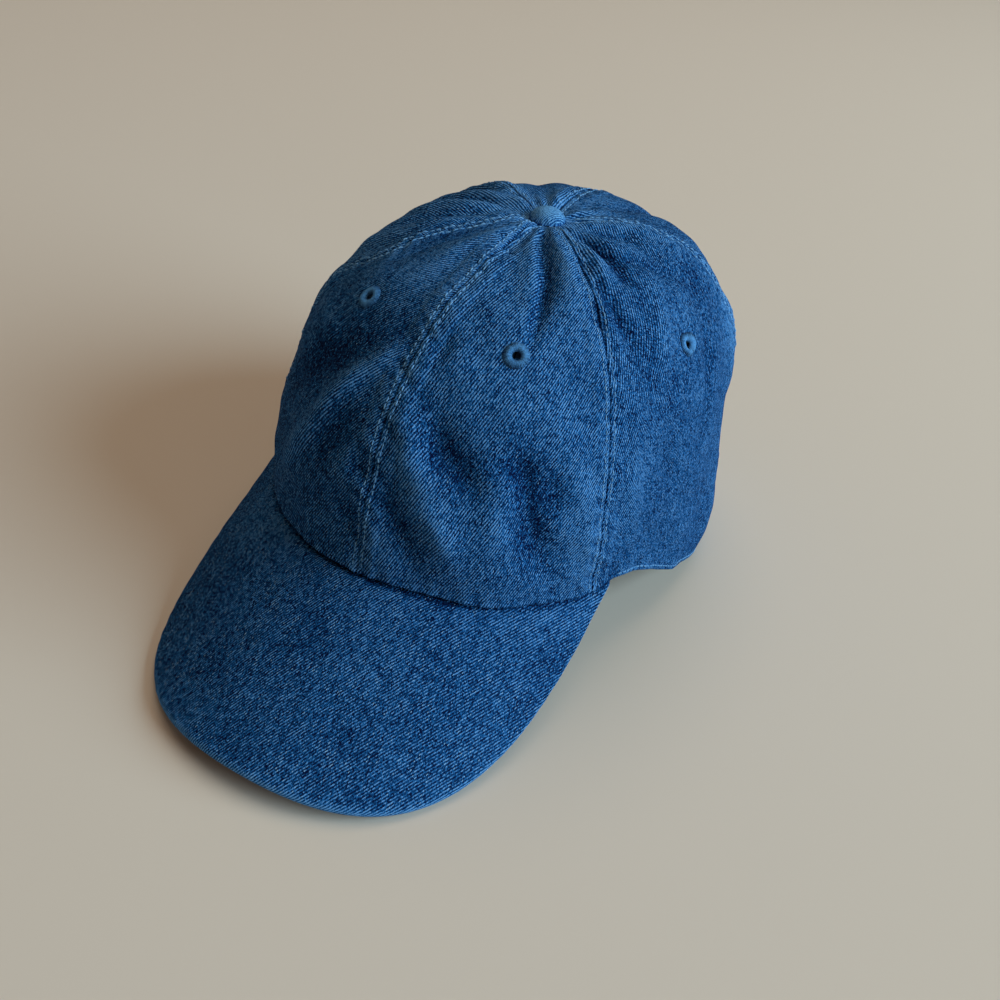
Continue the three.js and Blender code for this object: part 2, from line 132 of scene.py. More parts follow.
def spread_over(*values):
    """The values as one grid of vectors."""
    return np.stack(np.broadcast_arrays(*values), -1)


def ripple(points, wavelength, seed, waves=9):
    """Smooth seeded noise of points in space, about -1 to 1."""
    rng = np.random.default_rng(seed)
    total = 0
    for _ in range(waves):
        direction = unit(rng.normal(size=np.shape(points)[-1]))
        stretch = rng.uniform(0.7, 1.5)
        phase = rng.uniform(0, 2 * math.pi)
        total = total + np.sin(2 * math.pi * (points @ direction) / (wavelength * stretch) + phase)
    return total / math.sqrt(waves)


def wobble(distance, wavelength, seed):
    """The same along a line."""
    return ripple(np.asarray(distance, float)[..., None], wavelength, seed, waves=5)


# ---- surfaces -----------------------------------------------------------
# how the crown closes, bulges and rises on its way round: a mean, then shares of the cosine
# of the angle, of the cosine of twice the angle and of the sine of the angle
CLOSE_POWER = 0.55, 0.096, 0.019, -0.049
BULGE = 0.01, -0.075, 0.006, 0.0
RISE_POWER = 0.908, -0.265, 0.0, 0.0
TURN_STEP, ROW_STEP = 0.5, 0.01  # how far apart points are compared, for a slope


def going_round(theta, mean, front, front_and_back, left):
    turn = np.radians(theta)
    return mean + front * np.cos(turn) + front_and_back * np.cos(2 * turn) + left * np.sin(turn)


def hem_plan(theta):
    """The hem's oval, seen from above."""
    theta = np.asarray(theta, float)
    theta = np.where(theta > 180, theta - 360, theta)
    cos, sin = np.cos(np.radians(theta)), np.sin(np.radians(theta))
    power = 2 / np.where(cos > 0, FRONT_SQUARENESS, BACK_SQUARENESS)
    half_width = HALF_WIDTH + LEFT_FLARE * smooth(theta, BRIM_CORNER, LEFT_FLARE_END)
    return half_width * signed_power(sin, power), -HALF_LENGTH * signed_power(cos, power)


def brim_height(x, y):
    """The brim's top face: an arch that slopes down to the front."""
    arch = BRIM_ARCH_RADIUS - np.sqrt(BRIM_ARCH_RADIUS ** 2 - x * x)
    return BRIM_FRONT_HEIGHT + BRIM_SLOPE * (y + HALF_LENGTH) - arch


def hem_height(theta):
    """The hem follows the brim's seam, and comes down to the floor on both sides of it."""
    theta = np.where(theta > 180, np.asarray(theta, float) - 360, theta)
    held = np.clip(theta, -BRIM_CORNER, BRIM_CORNER)
    fall = smooth(np.abs(theta), BRIM_CORNER, BRIM_CORNER + HEM_RISE_END)
    return brim_height(*hem_plan(held)) * (1 - fall)


def crown_skin(theta, row):
    """The CAD crown's outer face."""
    theta, row = np.broadcast_arrays(np.asarray(theta, float), np.asarray(row, float))
    angle = np.arccos(np.clip(1 - row * row, 0, 1) ** ROW_POWER)
    swell = 1 + going_round(theta, *BULGE) * np.sin(2 * angle)
    close = np.cos(angle) ** going_round(theta, *CLOSE_POWER) * swell
    rise = np.sin(angle) ** going_round(theta, *RISE_POWER)
    x, y = hem_plan(theta)
    low = hem_height(theta)
    return np.stack([
        TOP[0] + (x - TOP[0]) * close,
        TOP[1] + (y - TOP[1]) * close,
        low + (TOP[2] - low) * rise,
    ], -1)


def crown_normal(theta, row):
    held = np.clip(row, 0.02, 0.97)
    along = crown_skin(theta + TURN_STEP, held) - crown_skin(theta - TURN_STEP, held)
    upward = crown_skin(theta, held + ROW_STEP) - crown_skin(theta, held - ROW_STEP)
    normal = unit(np.cross(along, upward))
    normal[..., 2] *= smooth(row, 0, 0.2)
    return unit(normal)


def row_at_height(theta, height):
    low = hem_height(theta)
    rise = np.clip(height / (TOP[2] - low), 0, 1) ** (1 / going_round(theta, *RISE_POWER))
    return np.sqrt(1 - np.cos(np.arcsin(rise)) ** (1 / ROW_POWER))


def reach(points):
    """Distance from the crown's upright axis, which is millimetres for each radian round it."""
    return np.maximum(np.hypot(points[..., 0] - TOP[0], points[..., 1] - TOP[1]), 1)


# millimetres up the cloth from the hem, tabled by whole degree and by a row step that is finer
# near the hem, where rows climb fastest
STEP_POWER = 2.4
TABLE_STEPS = 260
table_rows = np.linspace(0, 1, TABLE_STEPS + 1) ** STEP_POWER * TOP_HOLE_ROW
table_points = crown_skin(np.arange(-181.0, 182.0)[:, None], table_rows[None])
RUN_TABLE = np.concatenate([
    np.zeros((363, 1)),
    np.cumsum(norm(np.diff(table_points, axis=1)), axis=1),
], axis=1)


def run_at(theta, row):
    """Millimetres up the cloth from the hem."""
    across = np.clip(np.where(theta > 180, theta - 360, theta) + 181, 0, 361.999)
    share = np.clip(row, 0, None) / TOP_HOLE_ROW
    up = np.clip(share ** (1 / STEP_POWER), 0, 0.99999) * TABLE_STEPS
    i, j = across.astype(int), up.astype(int)
    a, b = across - i, up - j
    low = RUN_TABLE[i, j] * (1 - a) + RUN_TABLE[i + 1, j] * a
    high = RUN_TABLE[i, j + 1] * (1 - a) + RUN_TABLE[i + 1, j + 1] * a
    return low * (1 - b) + high * b


def row_at_run(theta, run):
    """The row that lies so many millimetres up the cloth, at each angle."""
    theta, run = np.broadcast_arrays(np.asarray(theta, float), np.asarray(run, float))
    rows = np.empty(theta.shape)
    for place in np.ndindex(theta.shape):
        across = theta[place] + (181 if theta[place] <= 180 else -179)
        i = int(across)
        runs = RUN_TABLE[i] * (1 + i - across) + RUN_TABLE[i + 1] * (across - i)
        rows[place] = np.interp(run[place], runs, table_rows)
    return rows


# ---- how the worn cloth departs from the plain crown --------------------
# folds: points as (degrees, row), half-width and height in millimetres; a valley is negative
FOLDS = [
    # the dents low in the left front panel and the slack between them
    ([(9, 0.31), (12.5, 0.265), (16, 0.225), (20.5, 0.195), (26, 0.15)], 6.4, -3.2),
    ([(11, 0.27), (14, 0.22), (17, 0.19)], 4.6, -1.4),
    ([(36, 0.25), (38, 0.20), (39.5, 0.15), (40, 0.10), (43, 0.06), (48, 0.02)], 6.8, -3.1),
    ([(35, 0.24), (37, 0.19), (38.5, 0.14)], 4.4, -1.8),
    ([(21, 0.245), (29, 0.225), (36, 0.22)], 4.6, -1.2),
    ([(43, 0.22), (45.5, 0.14)], 4.0, -1.4),
    ([(26, 0.19), (29, 0.13), (33, 0.07)], 4.6, 0.9),
    ([(5, 0.29), (7, 0.2), (13, 0.14), (20, 0.08)], 6.0, 1.7),
    ([(47, 0.28), (51.5, 0.2), (54, 0.12), (56, 0.04)], 4.6, 1.1),
    ([(2, 0.14), (6, 0.09), (10, 0.05), (13, 0.02)], 5.0, -3.0),
    ([(17, 0.10), (22, 0.04)], 4.5, 1.3),
    # down the centre seam
    ([(-5, 0.08), (-3, 0.045), (0, 0.02)], 4.0, -2.8),
    ([(-3.5, 0.17), (-2.5, 0.12)], 3.4, -2.3),
    ([(1.5, 0.25), (3.5, 0.2)], 3.4, -1.3),
    ([(-3, 0.45), (-3.5, 0.36)], 3.6, -1.5),
    ([(7, 0.5), (6, 0.41)], 3.6, -1.1),
    # the long soft ridge across the right front panel
    ([(-5, 0.40), (-12, 0.33), (-17, 0.25), (-21, 0.17), (-31, 0.07)], 4.2, 3.3),
    ([(-10, 0.46), (-22, 0.38), (-32, 0.28), (-42, 0.18)], 9.0, -2.6),
    ([(-6, 0.29), (-12, 0.2), (-17, 0.11)], 6.5, -1.4),
    # gathers below the button, front and left
    ([(29, 0.89), (36, 0.80), (37.5, 0.72), (35.5, 0.62), (33.5, 0.53)], 2.3, -2.5),
    ([(21, 0.89), (28, 0.76), (30, 0.64)], 4.0, 1.0),
    ([(47, 0.88), (49, 0.76), (47, 0.62)], 3.6, 1.3),
    ([(2, 0.87), (5, 0.77)], 3.0, -1.2),
    ([(62, 0.95), (68, 0.87), (70, 0.79), (67, 0.70)], 2.6, 1.8),
    ([(77, 0.91), (79, 0.82), (77, 0.71)], 3.0, -2.7),
    ([(72, 0.87), (84, 0.78), (94, 0.70), (103, 0.62)], 2.8, -1.5),
    ([(60, 0.81), (57, 0.73)], 2.4, -1.1),
    ([(63, 0.70), (65.5, 0.60), (69, 0.50)], 2.8, -2.6),
    ([(56, 0.67), (58.5, 0.56)], 2.4, -1.9),
    ([(92, 0.93), (101, 0.84), (97, 0.74)], 3.6, -2.1),
    ([(110, 0.93), (116, 0.84), (112, 0.72)], 4.0, 1.2),
    ([(88, 0.69), (81, 0.55), (77, 0.41)], 5.0, 1.3),
    ([(100, 0.60), (96, 0.44), (92, 0.25)], 4.5, -1.4),
    ([(66, 0.34), (67, 0.20), (70, 0.06)], 5.5, 1.2),
    ([(78, 0.30), (82, 0.14)], 6.0, -1.2),
    # right side and back
    ([(-72, 0.93), (-84, 0.80), (-88, 0.62)], 3.6, 1.6),
    ([(-62, 0.90), (-70, 0.76), (-73, 0.60)], 3.6, -1.7),
    ([(-96, 0.93), (-100, 0.82), (-100, 0.66)], 3.2, 1.4),
    ([(-88, 0.90), (-93, 0.78), (-94, 0.66)], 2.8, -1.5),
    ([(-125, 0.92), (-120, 0.80), (-112, 0.66)], 3.6, 1.5),
    ([(-112, 0.90), (-108, 0.78), (-106, 0.66)], 3.0, -1.2),
    ([(-32, 0.88), (-38, 0.74), (-38, 0.60)], 4.0, -1.5),
    ([(-18, 0.93), (-20, 0.80), (-21, 0.64)], 4.0, 1.3),
    ([(-48, 0.88), (-52, 0.74), (-54, 0.60)], 3.4, -1.3),
    ([(150, 0.90), (158, 0.74), (156, 0.58)], 4.5, -1.3),
    ([(-150, 0.90), (-154, 0.74), (-150, 0.60)], 4.5, -1.2),
    ([(136, 0.66), (141, 0.50), (138, 0.36)], 6.0, 1.4),
    ([(-138, 0.60), (-143, 0.46), (-139, 0.30)], 6.0, -1.5),
    ([(-74, 0.50), (-80, 0.36), (-92, 0.22)], 7.0, -1.8),
    ([(-62, 0.42), (-68, 0.28), (-80, 0.14)], 6.0, 1.4),
    ([(122, 0.34), (116, 0.20), (108, 0.08)], 7.0, -1.3),
    ([(-100, 0.30), (-112, 0.18)], 7.0, 1.2),
    # broad fullness and flatness of the whole crown
    ([(125, 0.52), (121, 0.43), (117, 0.37)], 12.0, 3.1),
    ([(-118, 0.72), (-132, 0.68), (-142, 0.60)], 12.0, -2.9),
    ([(-66, 0.50), (-76, 0.49)], 9.0, 1.9),
    ([(-58, 0.25), (-55, 0.14)], 8.0, -1.8),
]
SEAMS = [-180.0, -BACK_SEAM, -FRONT_SEAM, 0.0, FRONT_SEAM, BACK_SEAM, 180.0]


def fold_height(points):
    """Sum of the folds at points in space: round ridges and valleys that fade at their ends."""
    total = np.zeros(points.shape[:-1])
    for path, width, height in FOLDS:
        line = crown_skin(*np.array(path, float).T)
        centre, size = line.mean(0), np.ptp(line, axis=0).max() + 4 * width
        near = norm(points - centre) < size
        if not near.any():
            continue
        some = points[near]
        lengths = norm(np.diff(line, axis=0))
        starts = np.concatenate([[0], np.cumsum(lengths)])
        best = np.full(len(some), 1e9)
        along = np.zeros(len(some))
        for a, b, length, start in zip(line[:-1], line[1:], lengths, starts):
            t = np.clip((some - a) @ (b - a) / length ** 2, 0, 1)
            gap = norm(some - a - t[:, None] * (b - a))
            closer = gap < best
            best = np.where(closer, gap, best)
            along = np.where(closer, start + t * length, along)
        end_fade = np.sin(math.pi * np.clip(0.14 + 0.72 * along / starts[-1], 0, 1))
        total[near] += height * end_fade * bell(best, 0, width)
    return total


# gathers round the button: height in millimetres, number round the crown and phase
GATHERS = (0.55, 7, 0.8), (0.4, 11, 2.1), (0.3, 17, 0.0)
RING_HEIGHT, RING_FRONT_EXTRA = 1.45, 0.85


def top_lift(points, theta):
    """The cloth stands up round the button in uneven gathers, so the button sits in a hollow."""
    away = norm(points - TOP)
    turn = np.radians(theta)
    raised = RING_HEIGHT + RING_FRONT_EXTRA * np.cos(turn)
    raised = raised * smooth(away, 7, 15) * fade_out(away, 24, 52)
    gathers = sum(height * np.cos(count * turn + phase) for height, count, phase in GATHERS)
    return raised + gathers * smooth(away, 6, 12) * fade_out(away, 18, 40)


# the left hem stands out from the head: height in millimetres, middle and half-width in degrees
FLARE_HEIGHT, FLARE_MIDDLE, FLARE_SPREAD = 3.9, 106, 17


def broad_lift(points, theta):
    """Folds and slack that every layer of the crown follows."""
    height = points[..., 2]
    loose = smooth(height, 6, 30)  # the hem is held by the sweatband
    flare = FLARE_HEIGHT * bell(theta, FLARE_MIDDLE, FLARE_SPREAD)
    flare = flare * smooth(height, -7, 16) * fade_out(height, 18, 52)
    calm_back = 1 - 0.7 * smooth(points[..., 1], 70, 92) * fade_out(height, 50, 75)
    slack = 0.55 * ripple(points, 30, 11) + 0.22 * ripple(points, 13, 12)
    hem_hold = 0.35 + 0.65 * loose
    worn = (fold_height(points) * hem_hold + slack * loose) * calm_back
    return worn + top_lift(points, theta) + flare


DRIFT, DRIFT_SPREAD = 12.0, 17  # degrees


def drift(theta, row):
    """The right front seam has slid forward where the crown is creased."""
    strength = smooth(row, 0.42, 0.62) * fade_out(row, 0.86, 0.98)
    return DRIFT * strength * bell(theta, -FRONT_SEAM, DRIFT_SPREAD)


def nearest_seam(theta, row, points):
    """Signed millimetres to the nearest seam, and which seam it is."""
    gaps = np.stack([theta - seam for seam in SEAMS], -1)
    index = np.abs(gaps).argmin(-1)
    gap = np.take_along_axis(gaps, index[..., None], -1)[..., 0]
    seam = np.array(SEAMS)[index]
    at_seam = crown_skin(seam + drift(seam, row), row)
    return np.sign(gap) * norm(points - at_seam), index % 6


def beside_seam(seam, row, offset):
    """Degrees from a seam to the line so many millimetres beside it."""
    middle = seam + drift(seam, row)
    base = crown_skin(middle, row)
    turn = np.degrees(offset / np.maximum(reach(base), abs(offset) * 1.6))
    for _ in range(5):
        gap = norm(crown_skin(middle + turn, row) - base)
        turn = np.clip(turn * np.clip(abs(offset) / np.maximum(gap, 1e-6), 0.3, 2), -26, 26)
    return turn


# stitches: a row lies so far on both sides of its seam, up from the hem or round the opening
SEAM_STITCH, HEM_STITCH_UP, ARCH_STITCHES = 1.7, 2.6, (2.2, 6.6)
LEAST_THICKNESS = 0.14  # of a panel, in its deepest groove


def fine_lift(theta, row, points):
    """Seam grooves, the flat seam allowances beside them, puckers and the rolled hem."""
    gap, seam = nearest_seam(theta, row, points)
    side = np.abs(gap)
    open_cloth = smooth(reach(points), 5, 20)
    run = run_at(theta, row)
    groove = -0.5 * bell(side, 0, 0.42)
    allowance = 0.42 * fade_out(side, 5.4, 7.2) * open_cloth
    stitch_dent = -0.22 * bell(side, SEAM_STITCH, 0.55) * open_cloth
    skew = run + 0.8 * gap + 37 * seam
    pucker = 0.26 * wobble(skew, 6.5, 21) * bell(side, 2.2, 2.6) * open_cloth
    hem_edge = 0.35 * bell(run, 1.6, 1.2) - 0.8 * fade_out(run, 0, 0.9)
    hem_dent = -0.2 * bell(run, HEM_STITCH_UP, 0.7)
    hem_pucker = 0.16 * wobble(np.radians(theta) * reach(points), 8, 22) * bell(run, 3, 3.5)
    total = groove + allowance + stitch_dent + pucker + hem_edge + hem_dent + hem_pucker
    least = LEAST_THICKNESS - PANEL_THICKNESS
    return np.maximum(total + arch_lift(points), least), pucker + hem_pucker


def arch_point(turn, grow=1.0):
    """Angle and row of a point of the back opening's edge, or of a larger arch round it."""
    power = 2 / ARCH_SQUARENESS
    angle = ARCH_HALF_ANGLE * grow * signed_power(np.cos(turn), power)
    top = row_at_height(180.0, ARCH_HEIGHT * grow)
    return 180 - angle, top * np.maximum(np.sin(turn), 0) ** power


arch_line = crown_skin(*arch_point(np.linspace(0, math.pi, 161)))
ARCH_LINE_STEP = 0.8  # millimetres between the line's points, nearly


def arch_lift(points):
    """The opening's turned and twice stitched edge."""
    lift = np.zeros(points.shape[:-1])
    near = (points[..., 1] > 40) & (points[..., 2] < 75)
    if not near.any():
        return lift
    gaps = norm(points[near][:, None] - arch_line[None])
    gap, run = gaps.min(-1), gaps.argmin(-1) * ARCH_LINE_STEP
    turned_edge = 0.3 * fade_out(gap, 7.5, 9) - 0.5 * fade_out(gap, 0, 1.1)
    stitch_dents = -0.2 * sum(bell(gap, stitch, 0.6) for stitch in ARCH_STITCHES)
    lift[near] = turned_edge + stitch_dents + 0.18 * wobble(run, 7, 23) * bell(gap, 4, 3.5)
    return lift


def cloth(theta, row, height=0.0, fine=True):
    """A point of the worn crown's outer face, raised by height along the cloth's normal."""
    theta, row = np.broadcast_arrays(np.asarray(theta, float), np.asarray(row, float))
    moved = theta + drift(theta, row)
    points = crown_skin(moved, row)
    normal = crown_normal(moved, row)
    lift = broad_lift(points, moved)
    if fine:
        lift = lift + fine_lift(theta, row, points)[0]
    return points + normal * (lift + height)[..., None]


# the inner control points of the brim's edge, which is one cubic curve on each side
FRONT_PULL, SIDE_X, SIDE_PULL = 61.2, 78, 77.7


def brim_edge(u):
    """The brim's outer edge in plan, for u from -1 at the right corner to 1 at the left."""
    t = np.abs(u)
    x_end, y_end = hem_plan(BRIM_CORNER)
    front = -HALF_LENGTH - BRIM_LENGTH
    control = [(0, front), (FRONT_PULL, front), (SIDE_X, y_end - SIDE_PULL), (x_end, y_end)]
    weights = [(1 - t) ** 3, 3 * t * (1 - t) ** 2, 3 * t * t * (1 - t), t ** 3]
    x = sum(w * c[0] for w, c in zip(weights, control))
    y = sum(w * c[1] for w, c in zip(weights, control))
    return np.sign(u) * x, y


def brim_point(u, inward, depth):
    """A point of the brim, so many millimetres in from its outer edge and below its top face."""
    u, inward, depth = np.broadcast_arrays(*(np.asarray(v, float) for v in (u, inward, depth)))
    inner_x, inner_y = hem_plan(u * BRIM_CORNER)
    outer_x, outer_y = brim_edge(u)
    width = np.hypot(outer_x - inner_x, outer_y - inner_y)
    x = outer_x + (inner_x - outer_x) * inward / width
    y = outer_y + (inner_y - outer_y) * inward / width
    slope_x = x / np.sqrt(BRIM_ARCH_RADIUS ** 2 - x * x)
    normal = unit(np.stack([slope_x, np.full_like(x, -BRIM_SLOPE), np.ones_like(x)], -1))
    point = np.stack([x, y, brim_height(x, y)], -1) - normal * depth[..., None]
    point[..., 2] = np.maximum(point[..., 2], 0)
    return point


# ---- meshes -------------------------------------------------------------
TUBE_SIDES = 6
OUTSIDE, INSIDE, RIM = range(3)


def place(name, data):
    """A new object in the scene."""
    thing = bpy.data.objects.new(name, data)
    bpy.context.scene.collection.objects.link(thing)
    return thing


def stand_for(piece, node):
    """Hides the CAD node that the piece takes the place of."""
    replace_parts(piece, node)


def new_piece(name, vertices, faces, materials, uv=None, wear_and_shade=None, slots=None, body="cap"):
    """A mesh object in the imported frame; uv is in millimetres for each vertex."""
    mesh = bpy.data.meshes.new(name)
    mesh.from_pydata(to_frame(vertices).tolist(), [], faces)
    for material in materials:
        mesh.materials.append(material)
    if slots is not None:
        mesh.polygons.foreach_set("material_index", np.asarray(slots, np.int32))
    if uv is not None:
        layer = mesh.uv_layers.new(name="UVMap")
        corners = np.empty(len(mesh.loops), np.int32)
        mesh.loops.foreach_get("vertex_index", corners)
        layer.uv.foreach_set("vector", (np.asarray(uv) * 0.001)[corners].astype(np.float32).ravel())
    if wear_and_shade is not None:
        attribute = mesh.attributes.new("wear_and_shade", "FLOAT", "POINT")
        attribute.data.foreach_set("value", np.asarray(wear_and_shade, np.float32))
    mesh.shade_smooth()
    mesh.update()
    piece = place(name, mesh)
    face_out(mesh)
    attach(piece, body)
    return piece


def face_out(mesh):
    """Turns a closed mesh's faces outwards, by the sign of its volume."""
    work = bmesh.new()
    work.from_mesh(mesh)
    if work.calc_volume(signed=True) < 0:
        bmesh.ops.reverse_faces(work, faces=work.faces)
        work.to_mesh(mesh)
    work.free()


def shell_faces(columns, rows, removed=None):
    """Quads of a closed shell between two facing grids of columns x rows vertices.

    Gives the faces and where each lies: OUTSIDE, INSIDE or at a RIM. removed marks cells cut out.
    """
    kept = np.ones((columns - 1, rows - 1), bool) if removed is None else ~removed
    faces, kinds = [], []

    def add(kind, *corners):
        faces.append([side * columns * rows + i * rows + j for (i, j), side in corners])
        kinds.append(kind)

    for i, j in np.argwhere(kept).tolist():
        a, b, c, d = (i, j), (i + 1, j), (i + 1, j + 1), (i, j + 1)
        add(OUTSIDE, (a, 0), (b, 0), (c, 0), (d, 0))
        add(INSIDE, (a, 1), (d, 1), (c, 1), (b, 1))
        if j == 0 or not kept[i, j - 1]:
            add(RIM, (a, 1), (b, 1), (b, 0), (a, 0))
        if j == rows - 2 or not kept[i, j + 1]:
            add(RIM, (d, 0), (c, 0), (c, 1), (d, 1))
        if i == 0 or not kept[i - 1, j]:
            add(RIM, (a, 0), (d, 0), (d, 1), (a, 1))
        if i == columns - 2 or not kept[i + 1, j]:
            add(RIM, (b, 1), (c, 1), (c, 0), (b, 0))
    return faces, kinds


def shell_piece(name, outer, inner, materials, uv=None, wear_and_shade=None, removed=None, body="cap"):
    """A closed sheet between two facing grids; a second material is for its inner face."""
    columns, rows = outer.shape[:2]
    faces, kinds = shell_faces(columns, rows, removed)
    vertices = np.concatenate([outer.reshape(-1, 3), inner.reshape(-1, 3)])
    slots = [int(kind == INSIDE and len(materials) > 1) for kind in kinds]
    if removed is not None:
        used = np.zeros(len(vertices), bool)
        used[np.unique(np.array(faces))] = True
        renumber = np.cumsum(used) - 1
        faces = renumber[np.array(faces)].tolist()
        vertices = vertices[used]
    else:
        used = slice(None)
    both = lambda grid, width: np.concatenate([grid.reshape(-1, width)] * 2)[used]
    flat_uv = None if uv is None else both(uv, 2)
    flat_wear = None if wear_and_shade is None else both(wear_and_shade, 1).ravel()
    return new_piece(name, vertices, faces, materials, flat_uv, flat_wear, slots, body)


def tube_mesh(centres, radii, normals):
    """Vertices and faces of a tube along centres, with rounded ends; normals give its up side."""
    centres = np.asarray(centres, float)
    count = len(centres)
    forward = unit(np.gradient(centres, axis=0))
    up = unit(normals - forward * (normals * forward).sum(-1, keepdims=True))
    across = np.cross(forward, up)
    sides = TUBE_SIDES
    turn = np.arange(sides) * 2 * math.pi / sides
    ring = np.cos(turn)[None, :, None] * across[:, None] + np.sin(turn)[None, :, None] * up[:, None]
    vertices = centres[:, None] + ring * np.broadcast_to(radii, count)[:, None, None]
    vertices = np.concatenate([vertices.reshape(-1, 3), centres[:1], centres[-1:]])
    faces = []
    for i in range(count - 1):
        for k in range(sides):
            here, beyond = i * sides + k, i * sides + (k + 1) % sides
            faces.append((here, beyond, beyond + sides, here + sides))
    last = (count - 1) * sides
    faces += [(count * sides, (k + 1) % sides, k) for k in range(sides)]
    faces += [(count * sides + 1, last + k, last + (k + 1) % sides) for k in range(sides)]
    return vertices, faces


def many(name, parts, material, body="cap", wear_and_shade=None):
    """One piece from many small closed meshes, each (vertices, faces)."""
    vertices, faces, start = [], [], 0
    for part_vertices, part_faces in parts:
        vertices.append(part_vertices)
        faces += [tuple(index + start for index in face) for face in part_faces]
        start += len(part_vertices)
    vertices = np.concatenate(vertices)
    return new_piece(name, vertices, faces, [material], wear_and_shade=wear_and_shade, body=body)


# ---- materials ----------------------------------------------------------
class Shader:
    """A material being made: one Principled surface and the sums that feed it."""

    def __init__(self, name, roughness=0.9, metallic=0.0, sheen=0.0):
        self.material = bpy.data.materials.new(name)
        self.material.use_nodes = True
        self.nodes = self.material.node_tree.nodes
        self.links = self.material.node_tree.links
        self.surface = self.nodes["Principled BSDF"]
        self.surface.inputs["Roughness"].default_value = roughness
        self.surface.inputs["Metallic"].default_value = metallic
        self.surface.inputs["Specular IOR Level"].default_value = 0.5 if metallic else 0.02
        self.surface.inputs["Sheen Weight"].default_value = sheen
        self.surface.inputs["Sheen Roughness"].default_value = 0.45
        self.place = self.nodes.new("ShaderNodeTexCoord").outputs["Object"]

    def feed(self, socket, value):
        if isinstance(value, bpy.types.NodeSocket):
            self.links.new(value, socket)
        else:
            socket.default_value = value

    def math(self, operation, *values, clamp=False):
        node = self.nodes.new("ShaderNodeMath")
        node.operation = operation
        node.use_clamp = clamp
        for socket, value in zip(node.inputs, values):
            self.feed(socket, value)
        return node.outputs[0]

    def sum(self, *values):
        total = values[0]
        for value in values[1:]:
            total = self.math("ADD", total, value)
        return total

    def times(self, value, factor, plus=0.0):
        return self.math("MULTIPLY_ADD", value, factor, plus)

    def noise(self, scale, detail=2.0, roughness=0.5, vector=None):
        """Soft noise, about -1 to 1."""
        node = self.nodes.new("ShaderNodeTexNoise")
        self.feed(node.inputs["Vector"], self.place if vector is None else vector)
        node.inputs["Scale"].default_value = scale
        node.inputs["Detail"].default_value = detail
        node.inputs["Roughness"].default_value = roughness
        return self.times(node.outputs["Fac"], 4.0, -2.0)

    def random(self, x, y=0.0):
        """A random number for each pair of whole numbers."""
        node = self.nodes.new("ShaderNodeTexWhiteNoise")
        node.noise_dimensions = "2D"
        self.feed(node.inputs["Vector"], self.vector(x, y))
        return node.outputs["Value"]

    def vector(self, x, y, z=0.0):
        node = self.nodes.new("ShaderNodeCombineXYZ")
        for socket, value in zip(node.inputs, (x, y, z)):
            self.feed(socket, value)
        return node.outputs[0]

    def uv(self):
        """The cloth's own coordinates, in millimetres."""
        node = self.nodes.new("ShaderNodeUVMap")
        node.uv_map = "UVMap"
        split = self.nodes.new("ShaderNodeSeparateXYZ")
        self.links.new(node.outputs[0], split.inputs[0])
        return self.times(split.outputs[0], 1000.0), self.times(split.outputs[1], 1000.0)

    def attribute(self, name):
        node = self.nodes.new("ShaderNodeAttribute")
        node.attribute_name = name
        return node.outputs["Fac"]

    def mix(self, first, second, factor):
        node = self.nodes.new("ShaderNodeMix")
        node.data_type = "RGBA"
        self.feed(node.inputs[0], factor)
        self.feed(node.inputs[6], first)
        self.feed(node.inputs[7], second)
        return node.outputs[2]

    def colour(self, value):
        self.feed(self.surface.inputs["Base Color"], value)

    def bump(self, height, distance):
        node = self.nodes.new("ShaderNodeBump")
        node.inputs["Distance"].default_value = distance
        self.feed(node.inputs["Height"], height)
        self.links.new(node.outputs[0], self.surface.inputs["Normal"])


def srgb(red, green, blue):
    """An 0-255 screen colour as a linear one."""
    linear = [
        c / 12.92 if c <= 0.04045 else ((c + 0.055) / 1.055) ** 2.4
        for c in (red / 255, green / 255, blue / 255)
    ]
    return (*linear, 1.0)


